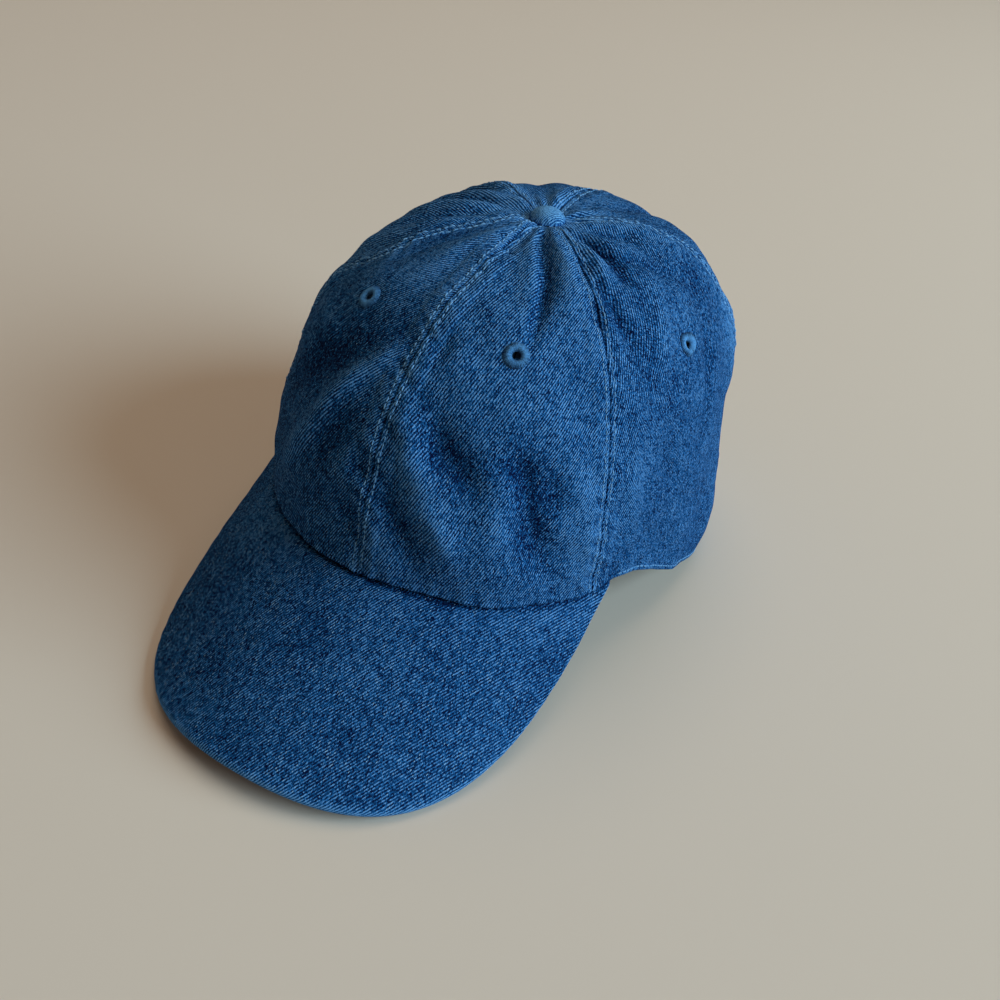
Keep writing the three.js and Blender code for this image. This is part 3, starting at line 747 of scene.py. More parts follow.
def twill(name, pitch, light, dark, weft, contrast=1.0, wear_and_shade_strength=0.75, flecks=0.0015, lean=28.0,
          depth=0.0002, clouds=0.16):
    """A 3/1 twill. Its slanting ribs are pitch millimetres apart and lean from the warp.

    Each warp yarn floats over three wefts and dips under the fourth, one weft later on each
    yarn to its right. Floats take the light and the gaps stay dark; the cloth is paler where it
    is worn, and darker where painted shade is laid on through the same mesh attribute.
    """
    shader = Shader(name, roughness=0.92)
    weft_width = pitch / (4 * math.sin(math.radians(lean)))
    warp_width = weft_width * math.tan(math.radians(lean))
    u, v = shader.uv()
    u = shader.sum(u, shader.times(shader.noise(240, 2), 0.07))
    v = shader.sum(v, shader.times(shader.noise(150, 1), 0.10))
    column_place = shader.math("DIVIDE", u, warp_width)
    column = shader.math("FLOOR", column_place)
    across = shader.times(shader.math("FRACT", column_place), 2.0, -1.0)
    yarn_round = shader.math(
        "SQRT", shader.times(shader.math("MULTIPLY", across, across), -0.75, 1.0))
    weft_steps = shader.math("DIVIDE", v, weft_width)
    step = shader.times(shader.math("SUBTRACT", column, weft_steps), 0.25)
    floats = shader.math("FLOOR", step)
    spark = shader.random(column, floats)
    warp_pair = shader.math("FLOOR", shader.times(column, 0.5, 0.25))
    weft_pair = shader.math("FLOOR", shader.times(weft_steps, 0.5))
    clump = shader.random(warp_pair, weft_pair)
    speck = shader.random(shader.times(column, 1.0, 0.5), shader.math("FLOOR", weft_steps))
    # the rib itself, drawn through its yarns: a wave squared off to a narrow pale crest
    slide = shader.times(shader.math("SUBTRACT", column_place, weft_steps), math.pi / 2)
    wave = shader.math("COSINE", slide)
    stepped = shader.math("COSINE", shader.times(step, 2 * math.pi))
    rib = shader.sum(shader.times(wave, 0.62), shader.times(stepped, 0.42, 0.34))
    rib = shader.math("MULTIPLY", shader.math("MAXIMUM", rib, 0.0), yarn_round, clamp=True)

    # worn is read from a mesh attribute that holds real wear where it is high and painted shade
    # where it is low: fold valleys, seam grooves, the crease at the brim's seam, the lower right
    # front panel and the brim's right side; the wear below means both
    worn = shader.attribute("wear_and_shade")
    cloud = shader.sum(
        shader.times(shader.noise(30, 3, 0.6), 0.6),
        shader.times(shader.noise(400, 4, 0.75), 1.2),
    )
    strength = shader.sum(  # of the rib, which differs by float, by group of yarns and by wear
        shader.times(shader.math("MULTIPLY", spark, spark), 0.85, 0.12),
        shader.times(clump, 0.55),
        shader.times(worn, 0.9 * wear_and_shade_strength, -0.3 * wear_and_shade_strength),
        shader.times(cloud, clouds),
    )
    tone = shader.sum(
        shader.math("MULTIPLY", rib, shader.times(strength, contrast)),
        shader.times(shader.math("POWER", speck, 3.0), 0.66 * contrast),  # stray pale crossings
        shader.times(clump, 0.16, -0.13),
        shader.times(worn, 0.2 * wear_and_shade_strength, -0.02),
        # edges and crests that are rubbed nearly white
        shader.times(shader.math("POWER", shader.math("MAXIMUM", worn, 0.0), 4.0), 0.3 * wear_and_shade_strength),
        shader.times(cloud, 0.4 * clouds),
    )
    tone = shader.math("MAXIMUM", tone, 0.0, clamp=True)
    blue = shader.mix(dark, light, tone)
    blue = shader.mix(blue, weft, shader.math("MAXIMUM", shader.times(tone, 0.82, -0.4), 0.0))
    fleck = shader.math("GREATER_THAN", spark, 1.0 - flecks)
    blue = shader.mix(blue, weft, shader.math("MULTIPLY", fleck, shader.times(rib, 0.8)))
    shader.colour(blue)
    relief = shader.sum(rib, shader.times(spark, 0.25))
    shader.bump(relief, depth)
    return shader.material


def thread(name, base, worn):
    """Twisted cotton: pale where it is rubbed, with a fine fibrous surface."""
    shader = Shader(name, roughness=0.85, sheen=0.02)
    fibres = shader.noise(2600, 2)
    patches = shader.noise(260, 2)
    rubbed = shader.times(shader.attribute("wear_and_shade"), 0.55, 0.38)
    patchy = shader.times(patches, 0.3, rubbed)
    tone = shader.math("ADD", shader.times(fibres, 0.3), patchy, clamp=True)
    shader.colour(shader.mix(base, worn, tone))
    shader.bump(fibres, 0.00008)
    return shader.material


def old_brass():
    """Antique brass: warm where handled, brown in the hollows, finely scratched."""
    shader = Shader("old_brass", metallic=1.0)
    patina = shader.noise(160, 4, 0.6)
    grain = shader.noise(1500, 3, 0.6)
    stretch = shader.nodes.new("ShaderNodeMapping")
    stretch.inputs["Scale"].default_value = (0.08, 0.08, 1.0)
    stretch.inputs["Rotation"].default_value = (0.0, 0.5, 0.3)
    shader.links.new(shader.place, stretch.inputs["Vector"])
    scratches = shader.noise(5200, 2, vector=stretch.outputs[0])
    handled = shader.times(patina, 0.45, 0.55)
    tone = shader.math("ADD", handled, shader.times(grain, 0.12), clamp=True)
    shader.colour(shader.mix(srgb(92, 68, 40), srgb(196, 158, 98), tone))
    rough = shader.sum(shader.times(patina, -0.09, 0.36), shader.times(scratches, 0.05))
    shader.feed(shader.surface.inputs["Roughness"], shader.math("MAXIMUM", rough, 0.2, clamp=True))
    shader.bump(shader.sum(shader.times(scratches, 0.5), grain), 0.00004)
    return shader.material


def plain_metal():
    shader = Shader("zinc_plate", metallic=1.0)
    dull = shader.noise(240, 4, 0.6)
    grain = shader.noise(1800, 2)
    tone = shader.times(dull, 0.4, 0.5)
    shader.colour(shader.mix(srgb(134, 136, 138), srgb(196, 197, 198), tone))
    shader.feed(shader.surface.inputs["Roughness"], shader.times(dull, 0.08, 0.38))
    shader.bump(grain, 0.00003)
    return shader.material


def brim_plastic():
    shader = Shader("brim_plastic", roughness=0.55)
    mottle = shader.noise(90, 3)
    tone = shader.times(mottle, 0.4, 0.5)
    shader.colour(shader.mix(srgb(206, 202, 190), srgb(228, 225, 214), tone))
    shader.bump(shader.noise(900, 3), 0.00006)
    return shader.material


PITCH = 0.88
DENIM_LIGHT, DENIM_DARK, WEFT = srgb(34, 129, 212), srgb(8, 19, 56), srgb(150, 194, 230)
DENIM = PITCH, DENIM_LIGHT, DENIM_DARK, WEFT
LINING = dict(contrast=0.7, flecks=0.0, depth=0.0001)
denim = twill("denim", *DENIM, contrast=0.88)
denim_brim = twill("denim_brim", *DENIM, contrast=0.82, flecks=0.018)
denim_under = twill("denim_under", *DENIM)
denim_reverse = twill(
    "denim_reverse", PITCH, srgb(140, 170, 200), srgb(48, 76, 112), WEFT, flecks=0.02)
denim_button = twill(
    "denim_button", 0.7, srgb(90, 172, 240), srgb(6, 54, 116), WEFT, wear_and_shade_strength=0.5, depth=0.00016)
cotton_tape = twill(
    "cotton_tape", 0.7, srgb(66, 84, 108), srgb(30, 42, 60), srgb(84, 102, 126),
    clouds=0.2, **LINING)
cotton_band = twill(
    "cotton_band", 0.6, srgb(60, 78, 102), srgb(26, 38, 56), srgb(80, 98, 122),
    clouds=0.25, **LINING)
top_thread = thread("top_thread", srgb(66, 128, 188), srgb(150, 200, 240))
inner_thread = thread("inner_thread", srgb(60, 80, 106), srgb(104, 124, 150))
eyelet_thread = thread("eyelet_thread", srgb(8, 42, 84), srgb(84, 146, 204))
brass = old_brass()
zinc = plain_metal()
board = brim_plastic()


# ---- crown panels -------------------------------------------------------
DARKEST = -0.5  # the lowest the wear value goes, where painted shade darkens the seams' grooves and the crease at the brim's seam


def edge_dense(count, power=1.5):
    """Steps from 0 to 1 that crowd at both ends, where the seams roll."""
    t = np.linspace(-1, 1, count + 1)
    return 0.5 + 0.5 * np.sign(t) * (1 - (1 - np.abs(t)) ** power)


def start_dense(count, power=1.5):
    return np.linspace(0, 1, count + 1) ** power


def panel_edges(start, end):
    """Column angles of a panel, and the row where each column's cloth starts."""
    if max(abs(start), abs(end)) < 180:
        theta = start + (end - start) * edge_dense(84)
        return theta, np.zeros(len(theta))
    seam_side = BACK_SEAM + (180 - ARCH_HALF_ANGLE - BACK_SEAM) * start_dense(40, 1.35)[:-1]
    turns = (1 - start_dense(44, 1.35)[::-1]) * math.pi / 2
    arch_theta, arch_row = arch_point(turns)
    theta = np.concatenate([seam_side, arch_theta])
    foot = np.concatenate([np.zeros(len(seam_side)), arch_row])
    return (theta, foot) if end > 0 else (-theta[::-1], foot[::-1])


PANEL_ROWS = 112


def panel_grid(start, end):
    """Angle and row of each vertex of a panel, in even steps of cloth up each column."""
    theta, foot = panel_edges(start, end)
    rise = start_dense(PANEL_ROWS, 1.2)
    first = run_at(theta, foot)
    last = run_at(theta, np.full_like(theta, TOP_HOLE_ROW))
    runs = first[:, None] + (last - first)[:, None] * rise[None]
    return np.repeat(theta[:, None], PANEL_ROWS + 1, 1), row_at_run(theta[:, None], runs)


def eyelet_metric(angle):
    """Millimetres for each degree and for each row at an eyelet."""
    ends = angle + np.array([-TURN_STEP, TURN_STEP])
    along = np.diff(crown_skin(ends, EYELET_ROW), axis=0) / (2 * TURN_STEP)
    ends = EYELET_ROW + np.array([-ROW_STEP, ROW_STEP])
    upward = np.diff(crown_skin(angle, ends), axis=0) / (2 * ROW_STEP)
    return norm(along)[0], norm(upward)[0]


def punch_eyelet(theta, row, angle):
    """Cells cut out for the eyelet; the hole's edge is drawn to a true circle."""
    per_degree, per_row = eyelet_metric(angle)
    away = np.hypot((theta - angle) * per_degree, (row - EYELET_ROW) * per_row)
    cell = (away[1:, 1:] + away[1:, :-1] + away[:-1, 1:] + away[:-1, :-1]) / 4
    removed = cell < EYELET_CUT
    touches = np.zeros(theta.shape, int)
    kept = np.zeros(theta.shape, int)
    for i, j in ((0, 0), (0, 1), (1, 0), (1, 1)):
        window = (slice(i, i + removed.shape[0]), slice(j, j + removed.shape[1]))
        touches[window] += removed
        kept[window] += ~removed
    rim = (touches > 0) & (kept > 0)
    pull = np.where(rim, EYELET_CUT / np.maximum(away, 1e-6), 1)
    return angle + (theta - angle) * pull, EYELET_ROW + (row - EYELET_ROW) * pull, removed


def panel_cut(theta, row, middle):
    """The flat cut's coordinates: across from the middle line, and down from the top."""
    share = np.linspace(0, 1, 9)
    line = crown_skin(middle + (theta - middle)[..., None] * share, row[..., None])
    across = np.sign(theta - middle) * norm(np.diff(line, axis=-2)).sum(-1)
    along = np.full_like(theta, middle)
    top = run_at(along, np.full_like(row, TOP_HOLE_ROW))
    return np.stack([across, run_at(along, row) - top], -1)


def grid_area(points):
    corner, right = points[:-1, :-1], points[1:, :-1]
    up, far = points[:-1, 1:], points[1:, 1:]
    halves = np.cross(right - corner, up - corner), np.cross(up - far, right - far)
    return sum(norm(half).sum() for half in halves) / 2


def longest(points, axis):
    """Length of the longest of a grid's lines that run along the axis."""
    return norm(np.diff(points, axis=axis)).sum(axis).max()


def declare_sheet(points, width=None, length=None):
    """Works out a sheet's flat width, length and area, in metres, from its grid of points in
    millimetres; nothing uses them.
    """
    across, along = width or longest(points, 0), length or longest(points, 1)
    across, along = round(across) / 1000, round(along) / 1000
    area = min(round(grid_area(points)) * 1e-6, across * along)


PANEL_WEAR = 0.38
DEEPEST_PAINTED_SHADE, HIGHEST_FADE = -3.2, 1.8  # fold valleys past the first height get no more painted shade, and ridges past the second fade no further


def add_panel(name, start, end):
    theta, row = panel_grid(start, end)
    eyelet = (start + end) / 2
    theta, row, removed = punch_eyelet(theta, row, eyelet)
    moved = theta + drift(theta, row)
    base, normal = crown_skin(moved, row), crown_normal(moved, row)
    broad = broad_lift(base, moved)
    fine, pucker = fine_lift(theta, row, base)
    per_degree, per_row = eyelet_metric(eyelet)
    from_eyelet = np.hypot((theta - eyelet) * per_degree, (row - EYELET_ROW) * per_row)
    fine = fine - 0.35 * bell(from_eyelet, EYELET_RIM, 1.0)
    run = run_at(theta, row)
    hem = 0.35 * fade_out(run, 9, 11) * fade_out(run, 0, 1)  # the turned-up edge is thicker
    outer = base + normal * (broad + fine)[..., None]
    inner = base + normal * (broad - PANEL_THICKNESS - hem)[..., None]

    # cloth fades where it stands proud, along the seams' edges and round the button; painted shade
    # darkens fold valleys, pucker hollows, seam grooves and the crease over the brim
    gap, _ = nearest_seam(theta, row, base)
    side = np.abs(gap)
    away = norm(base - TOP)
    folds = fold_height(base)
    over_brim = fade_out(np.abs(theta), BRIM_CORNER - 3, BRIM_CORNER + 3)
    # the hem's rubbed edge is paler away from the brim; over the brim it is darkened with painted
    # shade in the crease where the crown's edge meets the brim
    edge_wear_and_shade = 0.30 * bell(run, 0, 1.6) * (1 - over_brim) - 0.6 * bell(run, 0, 1.1) * over_brim
    # painted shade darkens the right front panel low down, on the side away from the light; the left
    # side has kept more of its indigo
    right_front = smooth(-theta, 0, 16) * fade_out(-theta, 70, 110)
    left_side = smooth(theta, 56, 62) * fade_out(theta, 150, 180)
    kept = 0.30 * right_front * fade_out(row, 0.36, 0.62)
    kept = kept + 0.22 * left_side * fade_out(row, 0.7, 0.95)
    # paler along the seam allowances' rubbed edges, and darkened with painted shade in the seam's
    # groove
    seam_wear_and_shade = 0.35 * bell(side, 0.9, 0.6) + 0.15 * bell(side, 6.0, 0.9)
    seam_wear_and_shade = seam_wear_and_shade - 0.45 * bell(side, 0, 0.45)
    # ridges and pucker crests are paler with wear; fold valleys and pucker hollows are darkened with
    # painted shade
    fold_wear_and_shade = 0.20 * np.clip(folds, DEEPEST_PAINTED_SHADE, HIGHEST_FADE) + 1.1 * pucker
    round_button = 0.25 * bell(away, 0, 22)
    patchy = 0.07 * ripple(base, 22, 31)
    wear_and_shade = PANEL_WEAR + fold_wear_and_shade - kept + seam_wear_and_shade + round_button + edge_wear_and_shade + patchy
    cut = panel_cut(theta, row, eyelet)
    piece = shell_piece(f"{name}_panel_denim", outer, inner, [denim, denim_reverse],
                        uv=cut, wear_and_shade=np.clip(wear_and_shade, DARKEST, 1), removed=removed)
    stand_for(piece, f"{name}_panel")
    declare_sheet(base)
    add_eyelet(name, eyelet)


# ---- stitches -----------------------------------------------------------
def add_stitches(name, surfaces, material, pitch=2.4, length=1.85, radius=0.24, body="cap"):
    """Rows of stitches. Each surface is a function of millimetres along and height, and a length."""
    parts = []
    profile = np.array([0.0, 0.12, 0.5, 0.88, 1.0])
    thickness = radius * np.array([0.45, 0.9, 1.0, 0.9, 0.45])
    height = radius * np.array([-1.2, 0.1, 0.75, 0.1, -1.2])
    for surface, total in surfaces:
        count = int(total / pitch)
        starts = (np.arange(count) + 0.15) * total / count
        along = starts[:, None] + profile[None] * length
        lift = np.broadcast_to(height, along.shape)
        centres = surface(along, lift)
        normals = unit(surface(along, lift + 0.3) - centres)
        for line, up in zip(centres, normals):
            parts.append(tube_mesh(line, thickness, up))
    return many(name, parts, material, body)


def run_up_back(height):
    """Millimetres of cloth from the hem to a height on the back seam."""
    return float(run_at(np.array(180.0), np.array(row_at_height(180.0, height))))


def seam_surface(theta, offset, height=0.0, fine=True, low=3.0, high=0.965):
    """A line beside a seam, on the outer face or so far below it."""
    end = float(run_at(np.array(theta), np.array(high)))
    grid_run = np.linspace(low, end, 160)
    grid_row = row_at_run(theta, grid_run)

    def surface(along, lift):
        row = np.interp(along + low, grid_run, grid_row)
        return cloth(theta + beside_seam(theta, row, offset), row, height + lift, fine)
    return surface, end - low


def line_surface(theta, row):
    """A stitch line through so many points of the outer face."""
    lengths = running_length(crown_skin(theta, row))

    def surface(along, lift):
        return cloth(np.interp(along, lengths, theta), np.interp(along, lengths, row), lift)
    return surface, lengths[-1]


def add_crown_stitches():
    rows = []
    for seam in (0.0, FRONT_SEAM, -FRONT_SEAM, BACK_SEAM, -BACK_SEAM):
        rows += [seam_surface(seam, side * SEAM_STITCH) for side in (-1, 1)]
    back_low = run_up_back(ARCH_HEIGHT) + 2.0
    rows += [seam_surface(180.0, side * SEAM_STITCH, low=back_low) for side in (-1, 1)]
    piece = add_stitches("crown_top_stitching", rows, top_thread)

    hem_rows = []
    for start, end in ((-159.0, -66.5), (66.5, 159.0)):
        theta = np.linspace(start, end, 240)
        hem_rows.append(line_surface(theta, row_at_run(theta, HEM_STITCH_UP)))
    turns = np.linspace(0.03, math.pi - 0.03, 200)
    for gap in ARCH_STITCHES:
        hem_rows.append(line_surface(*arch_point(turns, 1 + gap / ARCH_HEIGHT)))
    piece = add_stitches("hem_and_arch_stitching", hem_rows, top_thread)


# ---- eyelets ------------------------------------------------------------
EYELET_THREADS = 46


def add_eyelet(name, angle):
    """Threads wound through the hole: down inside it, over the front and out over the back."""
    per_degree, per_row = eyelet_metric(angle)
    rng = np.random.default_rng(int(angle * 10) + 5000)
    path = np.array([
        (3.8, -1.45), (2.8, -1.75), (1.8, -1.35), (1.42, -0.65),
        (1.6, 0.1), (2.15, 0.58), (2.85, 0.66), (3.55, 0.38), (4.15, -0.25),
    ])
    fine_steps = np.linspace(0, len(path) - 1, 15)
    radius_line = np.interp(fine_steps, np.arange(len(path)), path[:, 0])
    height_line = np.interp(fine_steps, np.arange(len(path)), path[:, 1])
    parts, rubbed = [], []
    for k in range(EYELET_THREADS):
        turn = 2 * math.pi * (k + rng.uniform(-0.12, 0.12)) / EYELET_THREADS
        spread = 1 + rng.uniform(-0.035, 0.035)
        out = radius_line * np.where(radius_line > 3.2, spread, 1)
        slant = 0.05 * np.linspace(-1, 1, len(out))
        x, y = out * np.cos(turn + slant), out * np.sin(turn + slant)
        theta, row = angle + x / per_degree, EYELET_ROW + y / per_row
        line = cloth(theta, row, height_line + rng.uniform(-0.05, 0.05), fine=False)
        up = crown_normal(theta, row)
        thick = np.interp(out, [1.4, 4.1], [0.13, 0.29])
        parts.append(tube_mesh(line, thick, up))
        crest = bell(out, 2.5, 0.8) * (np.arange(len(out)) > 5) + rng.uniform(-0.25, 0.25)
        rubbed += [np.repeat(crest, TUBE_SIDES), crest[[0, -1]]]
    piece = many(f"{name}_eyelet_thread", parts, eyelet_thread, wear_and_shade=np.concatenate(rubbed))
    stand_for(piece, f"{name}_eyelet")


# ---- tapes, binding and sweatband ---------------------------------------
def edge_rounding(count, thickness):
    """How far the faces of a strip of cloth draw in towards its two edges."""
    t = np.linspace(-1, 1, count)
    return thickness * 0.42 * np.clip(np.abs(t) * count / 2 - (count / 2 - 1.2), 0, 1) ** 2


def tape_faces(theta, row, columns, sag=0.0):
    """The two faces of a tape that lies inside the panels; its columns run along the given axis."""
    tuck = edge_rounding(theta.shape[columns], TAPE_THICKNESS)
    tuck = tuck[:, None] if columns == 0 else tuck[None]
    depths = TAPE_DEPTH + tuck, TAPE_DEPTH + TAPE_THICKNESS - tuck
    return [cloth(theta, row, sag - depth, fine=False) for depth in depths]


TAPE_START, TAPE_END_ROW = 5.0, TOP_HOLE_ROW * 0.955
TAPE_STITCH = 4.6  # each row of its stitches lies so far beside the seam


def add_tape(name, seam, low):
    end = float(run_at(np.array(seam), np.array(TAPE_END_ROW)))
    runs = np.linspace(low, end, 100)
    row = row_at_run(seam, runs)
    half = beside_seam(seam, row, TAPE_WIDTH / 2)
    share = np.linspace(-1, 1, 11)[:, None]
    theta = seam + share * half[None]
    rows = np.broadcast_to(row, theta.shape)
    sag = np.minimum(0.12 * ripple(crown_skin(theta, rows), 9, 41), 0.1)
    outer, inner = tape_faces(theta, rows, 0, sag)
    cut = spread_over(share * TAPE_WIDTH / 2, runs[None])
    piece = shell_piece(f"{name}_cloth", outer, inner, [cotton_tape], uv=cut,
                        wear_and_shade=np.full(theta.shape, 0.4))
    stand_for(piece, name)
    declare_sheet(outer, width=TAPE_WIDTH)
    return [
        seam_surface(seam, side * TAPE_STITCH, -TAPE_DEPTH - TAPE_THICKNESS, False,
                     low + 2, TAPE_END_ROW * 0.97)
        for side in (-1, 1)
    ]


def flipped(surface):
    """The same stitch line, on the wearer's side of the cloth."""
    return lambda along, lift: surface(along, -lift)


def add_tapes():
    rows = []
    for name, seam in (
        ("front", 0.0), ("front_left", FRONT_SEAM), ("front_right", -FRONT_SEAM),
        ("back_left", BACK_SEAM), ("back_right", -BACK_SEAM), ("back", 180.0),
    ):
        low = run_up_back(ARCH_HEIGHT + BINDING_WIDTH) if name == "back" else TAPE_START
        rows += add_tape(f"seam_tape_{name}", seam, low)
    rows = [(flipped(surface), total) for surface, total in rows]
    piece = add_stitches("tape_stitching", rows, inner_thread)


def add_binding():
    """Tape folded round the back opening's edge."""
    turns = np.linspace(0.0, math.pi, 110)
    gaps = np.array([-0.4, 0.0, 0.8, 2.0, 3.5, 5.0, 6.5, 8.0, 8.7, BINDING_WIDTH])
    grids = [arch_point(turns, 1.005 + gap / ARCH_HEIGHT) for gap in gaps]
    theta, row = (np.stack([grid[k] for grid in grids], 1) for k in (0, 1))
    outer, inner = tape_faces(theta, row + 0.004, 1)
    cut = spread_over(gaps[None], running_length(outer[:, 0])[:, None])
    piece = shell_piece("opening_binding_cloth", outer, inner, [cotton_tape], uv=cut,
                        wear_and_shade=np.full(theta.shape, 0.45))
    stand_for(piece, "opening_binding")
    declare_sheet(outer)


def inside_strap(points, depth_from_face):
    """Keeps the band inside the strap's arc, where the strap lies over it."""
    radius = np.hypot(points[..., 0], points[..., 1] - STRAP_AXIS_Y)
    most = STRAP_RADIUS - STRAP_THICKNESS / 2 - BAND_CLEARANCE - depth_from_face
    held = (points[..., 1] >= STRAP_AXIS_Y) & (radius > most)
    scale = np.where(held, most / radius, 1)
    points = points.copy()
    points[..., 0] *= scale
    points[..., 1] = STRAP_AXIS_Y + (points[..., 1] - STRAP_AXIS_Y) * scale
    return points


def band_follow(points, theta):
    """How far the band goes in or out with the cloth it is sewn to."""
    lift = broad_lift(points, theta)
    return np.minimum(lift + BAND_SLACK, 0) + 0.85 * np.maximum(lift, 0)


BAND_STITCHES = 28.4, 4.4  # heights of its two rows
BAND_TOP = 32.0


def add_sweatband():
    theta = np.linspace(-BAND_END, BAND_END, 260)
    heights = np.array([
        0.8, 1.1, 1.8, 3.0, 5.0, 8.0, 11, 14, 17, 20, 23, 26, 28.6, 30.2, 31.2, 31.8, BAND_TOP])
    edge = [0.42, 0.2, 0.03]
    rounding = np.array(edge + [0.0] * 11 + [0.05, 0.2, 0.42]) * BAND_THICKNESS
    angle, height = np.meshgrid(theta, heights, indexing="ij")
    welt = 1.15 * fade_out(height, 3.2, 7.5) * fade_out(np.abs(angle), 118, 126)
    stitch_valley = 0.18 * sum(bell(height, level, 0.8) for level in BAND_STITCHES)

    def band_point(angle, height, depth, from_face):
        row = row_at_height(angle, height)
        flat = crown_skin(angle, row)
        depth = depth - band_follow(flat, angle)
        return inside_strap(flat - crown_normal(angle, row) * depth[..., None], from_face)

    flat = crown_skin(angle, row_at_height(angle, height))
    slack = 0.22 * ripple(flat, 16, 51) * smooth(height, 5, 14)
    outer = band_point(angle, height, BAND_DEPTH - welt + rounding - slack * 0.4, 0.0)
    inner_depth = BAND_DEPTH + BAND_THICKNESS - rounding - stitch_valley + slack
    inner = band_point(angle, height, inner_depth, BAND_THICKNESS)
    lengths = running_length(flat[:, 6])
    cut = spread_over(lengths[:, None], heights[None])
    wear_and_shade = 0.4 + 0.3 * (np.abs(height - BAND_TOP) < 1.2) + 0.12 * ripple(flat, 30, 52)
    piece = shell_piece("sweatband_cloth", outer, inner, [cotton_band], uv=cut,
                        wear_and_shade=np.clip(wear_and_shade, 0, 1))
    stand_for(piece, "sweatband")
    declare_sheet(inner)

    def stitch_line(level):
        def surface(along, lift):
            depth = BAND_DEPTH + BAND_THICKNESS - 0.2 + lift
            return band_point(np.interp(along, lengths, theta), level, depth, BAND_THICKNESS - 0.15)
        return surface, lengths[-1]
    rows = [stitch_line(level) for level in BAND_STITCHES]
    piece = add_stitches("sweatband_stitching", rows, inner_thread)


# ---- brim ---------------------------------------------------------------
BRIM_TUCK = 1.4  # the covers run on under the crown's edge
BRIM_WEAR = 0.12
BRIM_FLAT_WIDTH, BRIM_FLAT_LENGTH = 175, 105  # of each cover's cut


def brim_width(u):
    inner_x, inner_y = hem_plan(u * BRIM_CORNER)
    outer_x, outer_y = brim_edge(u)
    return np.hypot(outer_x - inner_x, outer_y - inner_y)


def brim_cut(u, inward):
    """Flat coordinates of the brim's cloth, unrolled from the brim's arch and slope."""
    point = brim_point(u, inward, 0 * inward)
    x = BRIM_ARCH_RADIUS * np.arcsin(np.clip(point[..., 0] / BRIM_ARCH_RADIUS, -1, 1))
    y = point[..., 1] * math.hypot(1, BRIM_SLOPE)
    return np.stack([x, y], -1)


def add_brim_cover(name, node, under, material, roll_end):
    """One face of the brim; it rolls round the outer edge as far as roll_end degrees."""
    u = np.linspace(-0.992, 0.992, 190)
    flat_rows, roll_rows = 46, 16
    width = brim_width(u)[:, None]
    roll = np.minimum(BRIM_STACK / 2, 0.34 * width)  # half the stack; it thins out at the corners
    cloth_thick = BRIM_FABRIC * roll / (BRIM_STACK / 2)
    share = 1 - start_dense(flat_rows, 1.15)[::-1][None]
    inward_flat = (width + BRIM_TUCK) + (roll - width - BRIM_TUCK) * share
    turn = np.linspace(0, math.radians(roll_end), roll_rows + 1)[1:][None]
    tuck_in = 0.16 * smooth(np.degrees(turn), roll_end - 14, roll_end)

    def profile(drop):
        inward = np.concatenate([inward_flat, roll - (roll - drop - tuck_in) * np.sin(turn)], 1)
        round_depth = roll - (roll - drop - tuck_in) * np.cos(turn)
        depth = np.concatenate([0 * inward_flat + drop, round_depth], 1)
        return inward, depth

    columns = np.broadcast_to(u[:, None], (len(u), flat_rows + 1 + roll_rows))
    out_inward, out_depth = profile(0 * cloth_thick)
    in_inward, in_depth = profile(cloth_thick)
    path_inward = np.concatenate([inward_flat, roll - roll * turn], 1)
    plain = brim_point(columns, path_inward, 0 * path_inward)
    from_seam = width - path_inward
    crease = (0.4 if under else 0.95) * fade_out(from_seam, -0.2, 2.4)
    slack = -0.10 * ripple(plain, 24, 61 + under) - 0.05 * ripple(plain, 9, 63 + under)
    board_edge = 0.12 * bell(path_inward, 3.4, 0.9)
    edge_pucker = 0.09 * wobble(columns * 160, 7, 65) * bell(path_inward, 0, 2.6)
    dip = (crease + board_edge + edge_pucker + slack) * np.minimum(roll / (BRIM_STACK / 2), 1)

    def face(inward, depth):
        depth = depth + dip
        if under:
            depth = 2 * roll - depth
        return brim_point(columns, inward, depth)

    edge_wear_and_shade = 0.95 * bell(path_inward, -0.2, 2.0)
    # a paler band a few millimetres out from the seam, and painted shade darkening the cloth where
    # it runs in under the crown's edge
    seam_wear_and_shade = 0.18 * bell(from_seam, 3, 9) - 0.7 * fade_out(from_seam, 0.1, 1.5)
    # painted light and shade: the brim is paler towards the wearer's left, where the window light
    # falls, and darker towards the right
    painted_side_light = 0.10 * plain[..., 0] / 80
    wear_and_shade = BRIM_WEAR + edge_wear_and_shade + painted_side_light + seam_wear_and_shade + 0.07 * ripple(plain, 30, 66)
    cut = brim_cut(columns, path_inward)
    piece = shell_piece(name, face(out_inward, out_depth), face(in_inward, in_depth), [material],
                        uv=cut, wear_and_shade=np.clip(wear_and_shade, DARKEST, 1))
    stand_for(piece, node)
    declare_sheet(plain, BRIM_FLAT_WIDTH, BRIM_FLAT_LENGTH)


# the board stops short of the brim's edge, of the seam and of the thin corners
BOARD_SETBACK, BOARD_SEAM_GAP, BOARD_LEAST_WIDTH = 2.4, 3.2, 9.0


def add_board():
    """The stiff sheet between the covers."""
    u = np.linspace(-1, 1, 601)
    u = u[brim_width(u) > BOARD_LEAST_WIDTH]
    u = np.linspace(u[0], u[-1], 120)[:, None]
    span = brim_width(u) - BOARD_SEAM_GAP - BOARD_SETBACK
    inward = BOARD_SETBACK + span * np.linspace(0, 1, 24)
    depth = BRIM_FABRIC + LAYER_GAP
    faces = [brim_point(u, inward, drop) for drop in (depth, depth + BRIM_BOARD)]
    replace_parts(shell_piece("brim_board_plastic", *faces, [board]), "brim_board")


# ---- button -------------------------------------------------------------
BUTTON_LIFT = 0.5  # of its underside over the crown's top
COVER_FOLDS = 17  # small gathers where the cloth is pulled over the button's edge
CLOTH_STRETCH = 1.15  # of the weave, as the cover is drawn over the dome


